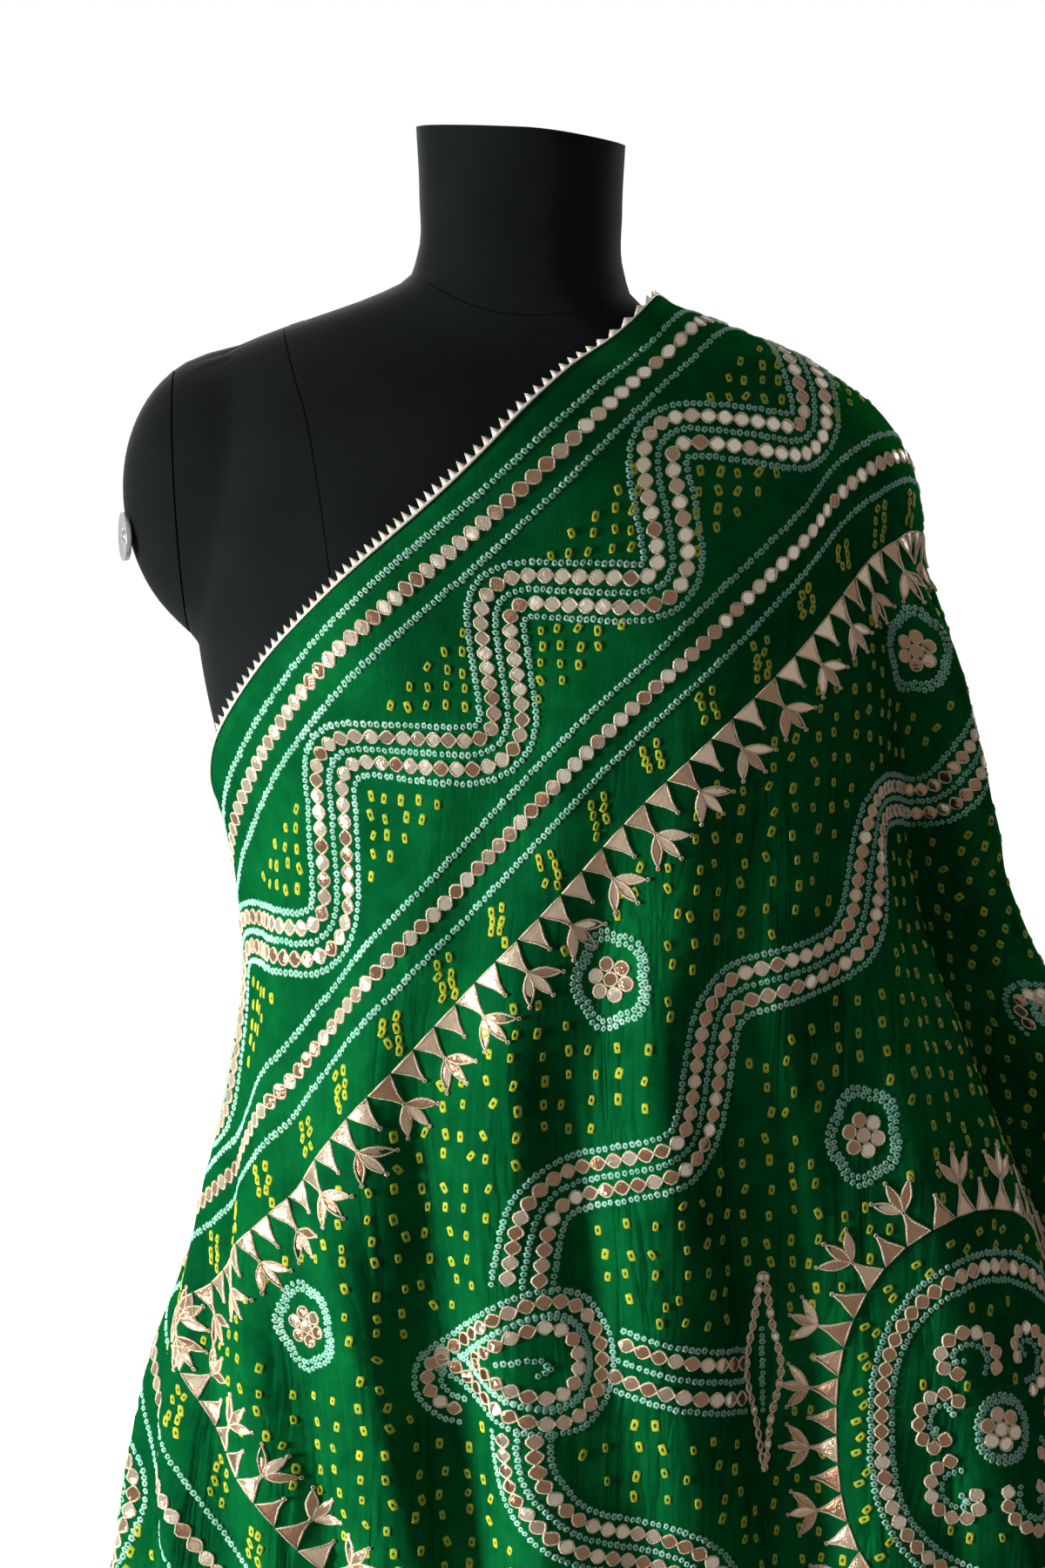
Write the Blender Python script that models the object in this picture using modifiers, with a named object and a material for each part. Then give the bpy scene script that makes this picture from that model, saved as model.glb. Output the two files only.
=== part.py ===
"""Bandhani cloth hanging over one shoulder of a dress form on a stand.

Metres, +Z up. The form faces -Y and the cloth hangs over its shoulder on the +X side.
The origin is on the floor, under the middle of the round base.
"""
from math import cos, pi, radians, sin

import bmesh
import bpy
import numpy as np

# ---------------------------------------------------------------- cloth, as cut
CLOTH_LENGTH = 1.90
CLOTH_WIDTH = 1.10
CLOTH_THICK = 0.0016
EDGING_WIDTH = 0.008
SEWN_GAP = 0.0011

# The cloth is told by u, along its length from the front end, and v, across from its upper edge.
# This spot lies on the end of the shoulder. Before it the cloth hangs in front, after it behind.
SHOULDER_U = 0.890
SHOULDER_V = 0.072
BIAS = radians(46.0)                    # turn of the cloth's length from level, on the chest
SHOULDER_SLOPE = radians(21.4)
FAN = pi - 2.0 * SHOULDER_SLOPE         # angle of cloth that hangs from that one spot
FLAT_FAN = radians(24.0)                # the first part of it, which still hangs flat in front
FLAT_SHARE = 0.5                        # and it takes no more than this share of a section
FLUTES = 4                              # deep folds that take up the rest, round the side

SHOULDER_X = 0.145
SHOULDER_Z = 1.476
NECK_P = -0.0726                        # from the shoulder's end to the neck, along the front
TURN = 0.046                            # how softly the cloth turns over the shoulder
TOP_BLEND = (0.05, 0.20)                # distance below the shoulder over which it starts to hang
SECTION_POWER = 2.35
CLEAR_OF_FORM = 0.0085

# Level sections of the hanging cloth: height, then how far it reaches each way from the form's
# middle. "wrap" is the reach behind of the end that is drawn round the form's other side.
SECTION_COLUMNS = ("z", "left", "right", "front", "behind", "wrap")
SECTIONS = (
    (1.56, 0.185, 0.190, 0.080, 0.080, 0.080),
    (1.44, 0.178, 0.190, 0.098, 0.092, 0.090),
    (1.36, 0.166, 0.198, 0.130, 0.104, 0.098),
    (1.28, 0.148, 0.198, 0.136, 0.114, 0.094),
    (1.19, 0.141, 0.208, 0.134, 0.132, 0.090),
    (1.10, 0.149, 0.240, 0.133, 0.152, 0.098),
    (1.00, 0.176, 0.280, 0.138, 0.176, 0.112),
    (0.92, 0.198, 0.304, 0.144, 0.194, 0.122),
    (0.83, 0.220, 0.340, 0.152, 0.212, 0.130),
    (0.55, 0.260, 0.430, 0.176, 0.256, 0.146),
    (0.25, 0.284, 0.476, 0.196, 0.280, 0.158),
    (-0.10, 0.300, 0.496, 0.212, 0.295, 0.168),
)

# Soft folds that run down the front: where each lies across the form, how that shifts for each
# metre down, the height at which it begins, half its width, and its depth (troughs are negative).
FOLD_COLUMNS = ("across", "drift", "starts", "half", "depth")
FOLDS = (
    (-0.150, 0.06, 1.20, 0.026, -0.014),
    (-0.105, -0.10, 1.20, 0.030, 0.010),
    (-0.046, 0.05, 1.20, 0.028, -0.014),
    (0.012, 0.04, 1.14, 0.034, 0.010),
    (0.128, 0.03, 1.26, 0.030, -0.026),
    (0.196, 0.16, 1.26, 0.036, 0.012),
)
FOLD_GROWS = 0.34                       # drop over which a fold comes to its full depth
FRONT_ENDS = (0.02, 0.05)               # the folds of the front fade out this far behind the middle
WRAP_FOLD = (0.070, 0.010)              # spacing and depth of the folds drawn round the side
WRAP_FOLD_STARTS = 1.12
WRAP_FOLD_GROWS = 0.40
BACK_FOLD = (0.090, 0.012)              # and of the folds that fall behind
BACK_FOLD_STARTS = 1.30
BACK_GATHER = 0.16
TAKEN_UP = 0.035                        # share of the hanging length that small creases take up
SPREAD = 0.04                           # further share taken up where the cloth stands out sideways

# Where the cloth rides higher or lower than it would by hanging straight: place across and down
# from the shoulder's end, reach each way, and lift.
LIFT_COLUMNS = ("across", "down", "reach_across", "reach_down", "lift")
LIFTS = (
    (-0.160, 0.070, 0.075, 0.080, -0.014),
    (-0.310, 0.200, 0.100, 0.150, 0.016),
    (-0.280, 0.450, 0.110, 0.130, -0.015),
    (-0.420, 0.590, 0.120, 0.150, 0.010),
)

CLOTH_CELLS = (64, 38)

# ---------------------------------------------------------------- dress form
# Torso sections: height, half width, depth in front, depth behind.
TORSO_COLUMNS = ("z", "half", "front", "behind")
TORSO = (
    (0.870, 0.158, 0.094, 0.098),
    (0.900, 0.167, 0.103, 0.110),
    (0.945, 0.170, 0.108, 0.114),
    (1.000, 0.165, 0.108, 0.106),
    (1.080, 0.147, 0.101, 0.088),
    (1.160, 0.135, 0.096, 0.078),
    (1.228, 0.143, 0.102, 0.082),
    (1.280, 0.160, 0.114, 0.086),
    (1.330, 0.170, 0.121, 0.089),
    (1.380, 0.174, 0.112, 0.091),
    (1.430, 0.174, 0.090, 0.088),
    (1.462, 0.169, 0.068, 0.074),
    (1.479, 0.154, 0.057, 0.064),
    (1.490, 0.131, 0.053, 0.058),
    (1.501, 0.102, 0.052, 0.055),
    (1.511, 0.077, 0.052, 0.054),
    (1.520, 0.0600, 0.052, 0.053),
    (1.532, 0.0545, 0.0515, 0.053),
    (1.565, 0.0530, 0.0515, 0.053),
    (1.599, 0.0545, 0.0530, 0.054),
)
TORSO_POWER = 2.2
SHOULDER_LEAN = 0.040                   # the shoulders drop this much for each metre towards +X
LOADED_DROP = 0.007                     # the shoulder that carries the cloth sits lower by this
LOADED_FROM = 0.08                      # and has sunk fully this far from the neck's middle
LEAN_FROM = (1.30, 1.42)                # and the lean comes in between these heights
TORSO_AROUND = 44
BUST = (0.076, 1.325, 0.042, 0.048, 0.012)   # across, height, half width, half height, depth

ARM_CENTRE = (0.152, 0.004, 1.405)
LOADED_ARM_CENTRE = (0.146, 0.004, 1.405)
ARM_RADII = (0.058, 0.056, 0.0740)
SEAT_GAP = 0.0004
PLATE_RADIUS = 0.013
PLATE_THICK = 0.003
PLATE_TURN = radians(15.5)              # the plate faces this far round towards the front
PLATE_LOW = 0.016                       # and sits this far below the arm's middle
RECESS_CUT = 0.02

POLE_RADIUS = 0.016
FLANGE_RADIUS = 0.055
FLANGE_THICK = 0.012
BASE_RADIUS = 0.190
BASE_THICK = 0.014

FABRIC_GREEN = (0.004, 0.095, 0.022)
METAL_GOLD = (0.62, 0.50, 0.36)
COVER_BLACK = (0.012, 0.013, 0.015)
STEEL_GREY = (0.55, 0.55, 0.56)
PAINT_BLACK = (0.02, 0.02, 0.022)


# ---------------------------------------------------------------- scene
def clear_scene():
    for obj in list(bpy.data.objects):
        bpy.data.objects.remove(obj, do_unlink=True)


def new_collection(name):
    collection = bpy.data.collections.new(name)
    bpy.context.scene.collection.children.link(collection)
    return collection


def make_material(name, colour, roughness, metallic=0.0):
    material = bpy.data.materials.new(name)
    material.use_nodes = True
    shader = material.node_tree.nodes["Principled BSDF"]
    shader.inputs["Base Color"].default_value = (*colour, 1.0)
    shader.inputs["Roughness"].default_value = roughness
    shader.inputs["Metallic"].default_value = metallic
    return material


def object_from_bmesh(name, bm, collection, material=None):
    mesh = bpy.data.meshes.new(name)
    bm.to_mesh(mesh)
    bm.free()
    obj = bpy.data.objects.new(name, mesh)
    collection.objects.link(obj)
    if material:
        mesh.materials.append(material)
    mesh.shade_smooth()
    mesh.set_sharp_from_angle(angle=radians(40.0))
    return obj


# ---------------------------------------------------------------- smooth tables
def smooth_step(value):
    t = np.clip(value, 0.0, 1.0)
    return t * t * (3.0 - 2.0 * t)


def column_curve(rows, columns, wanted, z):
    """One named column of a table, read at height z along a smooth curve through its rows."""
    ordered = sorted(rows)
    heights = np.array([row[0] for row in ordered])
    values = np.array([row[columns.index(wanted)] for row in ordered])
    slopes = np.gradient(values, heights)
    z = np.clip(z, heights[0], heights[-1])
    low = np.clip(np.searchsorted(heights, z) - 1, 0, len(heights) - 2)
    span = heights[low + 1] - heights[low]
    t = (z - heights[low]) / span
    return ((2 * t**3 - 3 * t**2 + 1) * values[low] + (t**3 - 2 * t**2 + t) * span * slopes[low]
            + (3 * t**2 - 2 * t**3) * values[low + 1] + (t**3 - t**2) * span * slopes[low + 1])


# ---------------------------------------------------------------- the form's outside
def bust_depth(x, z):
    across, height, half_width, half_height, depth = BUST
    return depth * np.exp(-((np.abs(x) - across) / half_width)**2 - ((z - height) / half_height)**2)


def lean(x, z):
    """How far the shoulders' lean, and the sunk one, lower a point of the form."""
    low, high = LEAN_FROM
    sunk = LOADED_DROP * smooth_step(x / LOADED_FROM)
    return (SHOULDER_LEAN * x + sunk) * smooth_step((z - low) / (high - low))


def torso_excess(x, y, z):
    """Below 0 inside the torso, above 0 outside it."""
    z = z + lean(x, z)
    half = column_curve(TORSO, TORSO_COLUMNS, "half", z)
    front = column_curve(TORSO, TORSO_COLUMNS, "front", z) + bust_depth(x, z)
    behind = column_curve(TORSO, TORSO_COLUMNS, "behind", z)
    depth = np.where(y < 0.0, front, behind)
    size = (np.abs(x / half)**TORSO_POWER + np.abs(y / depth)**TORSO_POWER)**(1.0 / TORSO_POWER)
    return size - 1.0


def arm_excess(x, y, z):
    """The same for the arm stub that the cloth lies on."""
    cx, cy, cz = LOADED_ARM_CENTRE
    rx, ry, rz = ARM_RADII
    z = z + lean(x, z)
    return np.sqrt(((x - cx) / rx)**2 + ((y - cy) / ry)**2 + ((z - cz) / rz)**2) - 1.0


def push_clear(points, excess, clearance):
    """Moves points out of a body until they stand the clearance off it."""
    step = 1e-4
    axes = np.eye(3) * step
    for _ in range(5):
        here = excess(*points.T)
        slope = np.stack([excess(*(points + axis).T) - here for axis in axes], axis=1) / step
        steepness = np.maximum(np.linalg.norm(slope, axis=1), 1e-6)
        distance = here / steepness
        push = np.maximum(clearance - distance, 0.0)
        points = points + slope / steepness[:, None] * push[:, None]
    return points


# ---------------------------------------------------------------- how the cloth hangs
def turn_over_shoulder(distance):
    """Reach out and drop after a distance along cloth that turns from level to hanging."""
    steps = (np.arange(24) + 0.5) / 24
    lean = 0.5 * pi * (1.0 - np.exp(-np.outer(distance, steps) / TURN))
    return distance * np.cos(lean).mean(axis=1), distance * np.sin(lean).mean(axis=1)


def section_outline(z, samples, behind):
    """A level section from the shoulder's line in front, leftwards or rightwards round the form."""
    left, right, front, back = (column_curve(SECTIONS, SECTION_COLUMNS, name, z)[:, None]
                                for name in ("left", "right", "front", behind))
    middle = 0.5 * (right - left)
    half = 0.5 * (right + left)
    start = np.arccos(np.clip((SHOULDER_X - middle) / half, 0.0, 1.0)**(SECTION_POWER / 2.0))
    angle = start + (samples[None, :] if behind == "wrap" else -samples[None, :] * 2.0 * start)
    power = 2.0 / SECTION_POWER
    x = middle + half * np.sign(np.cos(angle)) * np.abs(np.cos(angle))**power
    depth = np.where(np.sin(angle) > 0.0, front, back)
    y = -depth * np.sign(np.sin(angle)) * np.abs(np.sin(angle))**power
    return x, y


def outward(x, y):
    """Unit normals of rows of outline points, pointing away from the form."""
    dx = np.gradient(x, axis=1)
    dy = np.gradient(y, axis=1)
    length = np.maximum(np.hypot(dx, dy), 1e-9)
    side = np.sign((dy * x - dx * y).sum(axis=1, keepdims=True))
    return side * dy / length, -side * dx / length


def front_folds(x, y, z):
    """How far the folds of the front stand out or in at each outline point."""
    total = np.zeros_like(x)
    behind, fade = FRONT_ENDS
    in_front = smooth_step((behind - y) / fade)
    for across, drift, starts, half, depth in FOLDS:
        grown = smooth_step((starts - z) / FOLD_GROWS)
        place = across + drift * (starts - z)
        total += depth * grown * in_front * np.exp(-((x - place) / half)**2)
    spacing, depth = WRAP_FOLD
    grown = smooth_step((WRAP_FOLD_STARTS - z) / WRAP_FOLD_GROWS)
    return total + depth * grown * (1.0 - in_front) * np.sin(2.0 * pi * x / spacing)


def along(distance, x, y, *carried):
    """Each row's x, y and any values carried with them, at a distance along it."""
    steps = np.hypot(np.diff(x, axis=1), np.diff(y, axis=1))
    run = np.concatenate([np.zeros((len(x), 1)), np.cumsum(steps, axis=1)], axis=1)
    distance = np.clip(distance, 0.0, run[:, -1] - 1e-6)
    index = np.clip((run <= distance[:, None]).sum(axis=1) - 1, 0, x.shape[1] - 2)
    row = np.arange(len(x))
    t = (distance - run[row, index]) / np.maximum(run[row, index + 1] - run[row, index], 1e-9)
    return [(1.0 - t) * value[row, index] + t * value[row, index + 1] for value in (x, y, *carried)]


def folded_outline(z, samples, behind):
    """The outline with the front's folds in it, and its outward normals."""
    x, y = section_outline(z, samples, behind)
    nx, ny = outward(x, y)
    lift = front_folds(x, y, z[:, None])
    return x + nx * lift, y + ny * lift, nx, ny


def flute(share, gather):
    """Progress and swing of one deep fold, from 0 to 1 along its cloth, for a gathering ratio."""
    swings = np.linspace(0.0, 2.0, 60)
    ring = (np.arange(64) + 0.5) / 64
    ratios = 1.0 / np.cos(np.outer(swings, np.ones(64)) * np.sin(2 * pi * ring)).mean(axis=1)
    swing = np.interp(gather, ratios, swings)[:, None]
    bend = swing * np.sin(2 * pi * share[:, None] * ring)
    whole = np.cos(swing * np.sin(2 * pi * ring)).mean(axis=1)
    return share * np.cos(bend).mean(axis=1) / whole, share * np.sin(bend).mean(axis=1) / whole


def hang_front(z, distance):
    """Cloth in front, and drawn round the form's other side, by distance from the shoulder's end."""
    x, y = folded_outline(z, np.linspace(0.0, 1.5 * pi, 220), "wrap")[:2]
    return along(distance, x, y)


def hang_side(z, drop, angle):
    """Cloth that hangs from the shoulder's end: flat at first, then in deep folds round the side."""
    x, y, nx, ny = folded_outline(z, np.linspace(0.0, 1.0, 160), "behind")
    length = np.hypot(np.diff(x, axis=1), np.diff(y, axis=1)).sum(axis=1)
    flat_end = np.minimum(drop * FLAT_FAN, FLAT_SHARE * length)
    base = length - flat_end
    gather = np.maximum(drop * (FAN - FLAT_FAN) / base, 1.0)
    share = np.clip((angle - FLAT_FAN) / (FAN - FLAT_FAN), 0.0, 1.0) * FLUTES
    whole = np.minimum(np.floor(share), FLUTES - 1)
    progress, swing = flute(share - whole, gather)
    place = flat_end * np.minimum(angle / FLAT_FAN, 1.0) + base * (whole + progress) / FLUTES
    x, y, nx, ny = along(place, x, y, nx, ny)
    size = swing * base / FLUTES / np.maximum(np.hypot(nx, ny), 1e-6)
    return x + nx * size, y + ny * size


def hang_back(z, distance):
    """Cloth that falls behind the shoulder, by distance from the shoulder's end to the neck."""
    x, y = section_outline(z, np.array([1.0]), "behind")
    grown = smooth_step((BACK_FOLD_STARTS - z) / FOLD_GROWS)
    spacing, depth = BACK_FOLD
    ripple = depth * grown * np.sin(2.0 * pi * distance / spacing)
    return x[:, 0] - distance * (1.0 - BACK_GATHER * grown), y[:, 0] + ripple


def drape(u, v):
    """Points of the hung cloth for spots u, v of the flat one."""
    u = np.asarray(u, dtype=float)
    v = np.asarray(v, dtype=float)
    du = u - SHOULDER_U
    dv = v - SHOULDER_V
    p = cos(BIAS) * du + sin(BIAS) * dv
    d = -sin(BIAS) * du + cos(BIAS) * dv
    angle = np.arctan2(p, d)
    ridge = 0.5 * pi + SHOULDER_SLOPE
    side = (angle > 0.0) & (angle < FAN)
    back = (angle >= FAN) | (angle <= -ridge)
    front = ~side & ~back

    # Distance down from the shoulder's line, and where on that line the cloth comes over it.
    rise = np.tan(SHOULDER_SLOPE)
    back_p = np.cos(FAN) * p - np.sin(FAN) * d
    back_d = np.sin(FAN) * p + np.cos(FAN) * d
    across = np.where(side, 0.0, np.where(back, -np.abs(back_p), p))
    on_line = np.clip(across, NECK_P, 0.0)
    down = np.where(side, np.hypot(p, d), np.where(back, back_d, d) - rise * on_line)
    down = np.maximum(down, 0.0)
    facing = np.where(side, -0.5 * pi + pi * angle / FAN, np.where(back, 0.5 * pi, -0.5 * pi))

    reach, drop = turn_over_shoulder(down)
    top_z = SHOULDER_Z - rise * on_line
    spread = np.where(side, SPREAD * np.sin(pi * np.clip(angle / FAN, 0.0, 1.0)), 0.0)
    z = top_z - drop * (1.0 - TAKEN_UP - spread)
    for place_p, place_d, reach_p, reach_d, lift in LIFTS:
        z += front * lift * np.exp(-((p - place_p) / reach_p)**2 - ((d - place_d) / reach_d)**2)
    top_x = SHOULDER_X + np.where(side, 0.0, across) + reach * np.cos(facing)
    top_y = reach * np.sin(facing)

    x = np.zeros_like(z)
    y = np.zeros_like(z)
    if front.any():
        x[front], y[front] = hang_front(z[front], -p[front])
    if side.any():
        x[side], y[side] = hang_side(z[side], down[side], angle[side])
    if back.any():
        x[back], y[back] = hang_back(z[back], -across[back])

    hung = smooth_step((down - TOP_BLEND[0]) / (TOP_BLEND[1] - TOP_BLEND[0]))
    points = np.stack([(1 - hung) * top_x + hung * x, (1 - hung) * top_y + hung * y, z], axis=1)
    for excess in (arm_excess, torso_excess, arm_excess):
        points = push_clear(points, excess, CLEAR_OF_FORM)
    return points


def hung_sheet(name, collection, material, u_range, v_range, cells):
    """A stretch of the flat cloth as a grid, moved to where it hangs and given its thickness."""
    columns, rows = cells
    u, v = np.meshgrid(np.linspace(*u_range, columns + 1), np.linspace(*v_range, rows + 1), indexing="ij")
    hung = drape(u.ravel(), v.ravel())
    bm = bmesh.new()
    verts = [bm.verts.new(point) for point in hung]
    for column in range(columns):
        for row in range(rows):
            first = column * (rows + 1) + row
            corners = [verts[first], verts[first + rows + 1], verts[first + rows + 2], verts[first + 1]]
            # Each cell is split along the way the cloth hangs there, so that folds stay clean.
            du = u[column, row] - SHOULDER_U
            dv = v[column, row] - SHOULDER_V
            turn = 0 if du > 0.0 and dv > 0.0 else 1
            a, b, c, d = corners[turn:] + corners[:turn]
            bm.faces.new((a, b, c))
            bm.faces.new((a, c, d))
    bmesh.ops.recalc_face_normals(bm, faces=bm.faces)
    obj = object_from_bmesh(name, bm, collection, material)
    shell = obj.modifiers.new("Thickness", "SOLIDIFY")
    shell.thickness = CLOTH_THICK
    shell.offset = 0.0
    return obj


def build_cloth(collection):
    silk = make_material("silk", FABRIC_GREEN, 0.45)
    gold = make_material("edging", METAL_GOLD, 0.35, 0.8)
    length_cells, width_cells = CLOTH_CELLS
    near = -EDGING_WIDTH - SEWN_GAP
    far = EDGING_WIDTH + SEWN_GAP
    hung_sheet("cloth", collection, silk, (0.0, CLOTH_LENGTH), (0.0, CLOTH_WIDTH), CLOTH_CELLS)
    hung_sheet("edging_upper", collection, gold, (0.0, CLOTH_LENGTH), (near, -SEWN_GAP), (length_cells, 1))
    hung_sheet("edging_lower", collection, gold, (0.0, CLOTH_LENGTH),
               (CLOTH_WIDTH + SEWN_GAP, CLOTH_WIDTH + far), (length_cells, 1))
    hung_sheet("edging_front_end", collection, gold, (near, -SEWN_GAP), (0.0, CLOTH_WIDTH), (1, width_cells))
    hung_sheet("edging_back_end", collection, gold, (CLOTH_LENGTH + SEWN_GAP, CLOTH_LENGTH + far),
               (0.0, CLOTH_WIDTH), (1, width_cells))


# ---------------------------------------------------------------- dress form
def torso_mesh(grow=0.0):
    """Rings of the torso's sections, joined by quads and closed at the neck and the hips."""
    bm = bmesh.new()
    rings = []
    power = 2.0 / TORSO_POWER
    for z, half, front, behind in TORSO:
        ring = []
        for step in range(TORSO_AROUND):
            angle = 2.0 * pi * step / TORSO_AROUND
            c, s = cos(angle), sin(angle)
            x = half * np.sign(c) * abs(c)**power
            shape = np.sign(s) * abs(s)**power
            depth = behind if s > 0.0 else front + float(bust_depth(x, z))
            ring.append(bm.verts.new((x, depth * shape, z - float(lean(x, z)))))
        rings.append(ring)
    for low, high in zip(rings, rings[1:]):
        for step in range(TORSO_AROUND):
            after = (step + 1) % TORSO_AROUND
            bm.faces.new((low[step], low[after], high[after], high[step]))
    bm.faces.new(list(reversed(rings[0])))
    bm.faces.new(rings[-1])
    bmesh.ops.recalc_face_normals(bm, faces=bm.faces)
    bmesh.ops.triangulate(bm, faces=bm.faces)
    if grow:
        bm.normal_update()
        for vert, normal in [(vert, vert.normal.copy()) for vert in bm.verts]:
            vert.co += normal * grow
    return bm


def cut_with(obj, cutter):
    cut = obj.modifiers.new("Cut", "BOOLEAN")
    cut.operation = "DIFFERENCE"
    cut.solver = "EXACT"
    cut.object = cutter


def mark_cutter(obj):
    obj.hide_render = True
    obj.display_type = "WIRE"


def arm_stub(name, side, middle, collection, material, torso_cutter):
    bm = bmesh.new()
    bmesh.ops.create_uvsphere(bm, u_segments=24, v_segments=14, radius=1.0)
    for vert in bm.verts:
        vert.co = [centre + radius * value
                   for centre, radius, value in zip(middle, ARM_RADII, vert.co)]
        vert.co.x *= side
        vert.co.z -= float(lean(vert.co.x, vert.co.z))
    bmesh.ops.recalc_face_normals(bm, faces=bm.faces)
    obj = object_from_bmesh(name, bm, collection, material)
    cut_with(obj, torso_cutter)
    return obj


def plate_place():
    """The plate's centre and outward direction on the arm stub at the -X side."""
    direction = np.array((-cos(PLATE_TURN), -sin(PLATE_TURN), 0.0))
    radii = np.array(ARM_RADII)
    point = radii**2 * direction / np.linalg.norm(radii * direction)
    centre = np.array((-ARM_CENTRE[0], ARM_CENTRE[1], ARM_CENTRE[2] - PLATE_LOW))
    return centre + point, direction


def disc(name, radius, thickness, collection, material=None):
    """A round plate about its own origin, its axis along Z."""
    bm = bmesh.new()
    bmesh.ops.create_cone(bm, cap_ends=True, segments=32, radius1=radius, radius2=radius, depth=thickness)
    return object_from_bmesh(name, bm, collection, material)


def seat_on_arm(obj, depth):
    place, direction = plate_place()
    obj.rotation_euler = (0.0, pi / 2.0, PLATE_TURN)
    obj.location = place - direction * depth


def build_form(collection, cutters):
    cover = make_material("form_cover", COVER_BLACK, 0.75)
    steel = make_material("plate_steel", STEEL_GREY, 0.35, 1.0)
    object_from_bmesh("form_torso", torso_mesh(), collection, cover)
    grown = object_from_bmesh("cut_torso", torso_mesh(grow=SEAT_GAP), cutters)
    mark_cutter(grown)
    left = arm_stub("form_arm_left", -1.0, ARM_CENTRE, collection, cover, grown)
    arm_stub("form_arm_right", 1.0, LOADED_ARM_CENTRE, collection, cover, grown)

    recess_depth = 0.5 * PLATE_THICK
    recess = disc("cut_plate", PLATE_RADIUS + SEAT_GAP, RECESS_CUT, cutters)
    seat_on_arm(recess, recess_depth + SEAT_GAP - 0.5 * RECESS_CUT)
    mark_cutter(recess)
    cut_with(left, recess)
    plate = disc("form_arm_plate", PLATE_RADIUS, PLATE_THICK, collection, steel)
    seat_on_arm(plate, recess_depth - 0.5 * PLATE_THICK)
    bevel = plate.modifiers.new("Edge", "BEVEL")
    bevel.width = 0.0006
    bevel.segments = 2


def turned(name, z_low, z_high, radius, bevel_width, collection, material, sides=40):
    bm = bmesh.new()
    bmesh.ops.create_cone(bm, cap_ends=True, segments=sides, radius1=radius, radius2=radius,
                          depth=z_high - z_low)
    bmesh.ops.translate(bm, verts=bm.verts, vec=(0.0, 0.0, 0.5 * (z_low + z_high)))
    obj = object_from_bmesh(name, bm, collection, material)
    bevel = obj.modifiers.new("Edge", "BEVEL")
    bevel.width = bevel_width
    bevel.segments = 2
    return obj


def build_stand(collection):
    black = make_material("stand_paint", PAINT_BLACK, 0.35, 0.4)
    torso_bottom = TORSO[0][0]
    flange_low = torso_bottom - SEAT_GAP - FLANGE_THICK
    turned("stand_base", 0.0, BASE_THICK, BASE_RADIUS, 0.003, collection, black, sides=56)
    turned("stand_pole", BASE_THICK + SEAT_GAP, flange_low - SEAT_GAP, POLE_RADIUS, 0.001, collection,
           black, sides=24)
    turned("stand_flange", flange_low, torso_bottom - SEAT_GAP, FLANGE_RADIUS, 0.0015, collection, black)


def main():
    clear_scene()
    parts = new_collection("bandhani_cloth")
    cutters = new_collection("cutters")
    build_form(parts, cutters)
    build_stand(parts)
    build_cloth(parts)


main()
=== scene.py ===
import math

import bpy
import numpy as np
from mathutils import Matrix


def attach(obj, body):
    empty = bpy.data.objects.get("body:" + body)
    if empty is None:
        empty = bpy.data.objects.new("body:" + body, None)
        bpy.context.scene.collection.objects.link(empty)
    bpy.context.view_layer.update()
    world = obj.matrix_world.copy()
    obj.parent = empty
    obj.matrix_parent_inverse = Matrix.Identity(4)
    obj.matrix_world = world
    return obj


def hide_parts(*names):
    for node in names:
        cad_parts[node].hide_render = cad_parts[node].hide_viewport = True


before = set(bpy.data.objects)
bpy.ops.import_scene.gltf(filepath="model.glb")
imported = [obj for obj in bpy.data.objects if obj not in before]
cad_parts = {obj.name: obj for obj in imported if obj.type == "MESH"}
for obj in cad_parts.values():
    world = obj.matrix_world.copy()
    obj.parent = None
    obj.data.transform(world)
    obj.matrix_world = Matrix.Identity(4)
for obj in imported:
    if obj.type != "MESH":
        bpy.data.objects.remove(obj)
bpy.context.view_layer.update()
dice = np.random.default_rng(41)

# the cloth and how it hangs: the same named values as the part's own source, in metres
cloth = {
    "length": 1.90, "width": 1.10, "thick": 0.0010,
    "shoulderU": 0.890, "shoulderV": 0.072,      # the spot that lies on the shoulder's end
    "bias": math.radians(46.0), "slope": math.radians(21.4),
    "flatFan": math.radians(24.0), "flutes": 4,
    "shoulderX": 0.145, "shoulderZ": 1.476, "neckP": -0.0726,
    "turn": 0.046, "topBlend": (0.05, 0.20), "power": 2.35, "clear": 0.0085,
    "foldGrows": 0.34, "foldFront": (0.02, 0.05),
    "wrapFold": (0.070, 0.010), "wrapStarts": 1.12, "wrapGrows": 0.40,
    "backFold": (0.090, 0.012), "backStarts": 1.30, "backGather": 0.16,
    "takenUp": 0.035, "spread": 0.04,
    "frontSteps": 220, "sideSteps": 160, "turnSteps": 24, "swingSteps": 60, "fluteSteps": 64,
    "cells": (280, 162), "spare": 3,             # grid cells, and how many more lie past each edge
    "roundings": 3, "atOnce": 4000,
}
# height, reach left, right, in front, behind, and behind where it wraps the far side
sections = np.array([
    (1.56, 0.185, 0.190, 0.080, 0.080, 0.080), (1.44, 0.178, 0.190, 0.098, 0.092, 0.090),
    (1.36, 0.166, 0.198, 0.130, 0.104, 0.098), (1.28, 0.148, 0.198, 0.136, 0.114, 0.094),
    (1.19, 0.141, 0.208, 0.134, 0.132, 0.090), (1.10, 0.149, 0.240, 0.133, 0.152, 0.098),
    (1.00, 0.176, 0.280, 0.138, 0.176, 0.112), (0.92, 0.198, 0.304, 0.144, 0.194, 0.122),
    (0.83, 0.220, 0.340, 0.152, 0.212, 0.130), (0.55, 0.260, 0.430, 0.176, 0.256, 0.146),
    (0.25, 0.284, 0.476, 0.196, 0.280, 0.158), (-0.10, 0.300, 0.496, 0.212, 0.295, 0.168)])[::-1]
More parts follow.
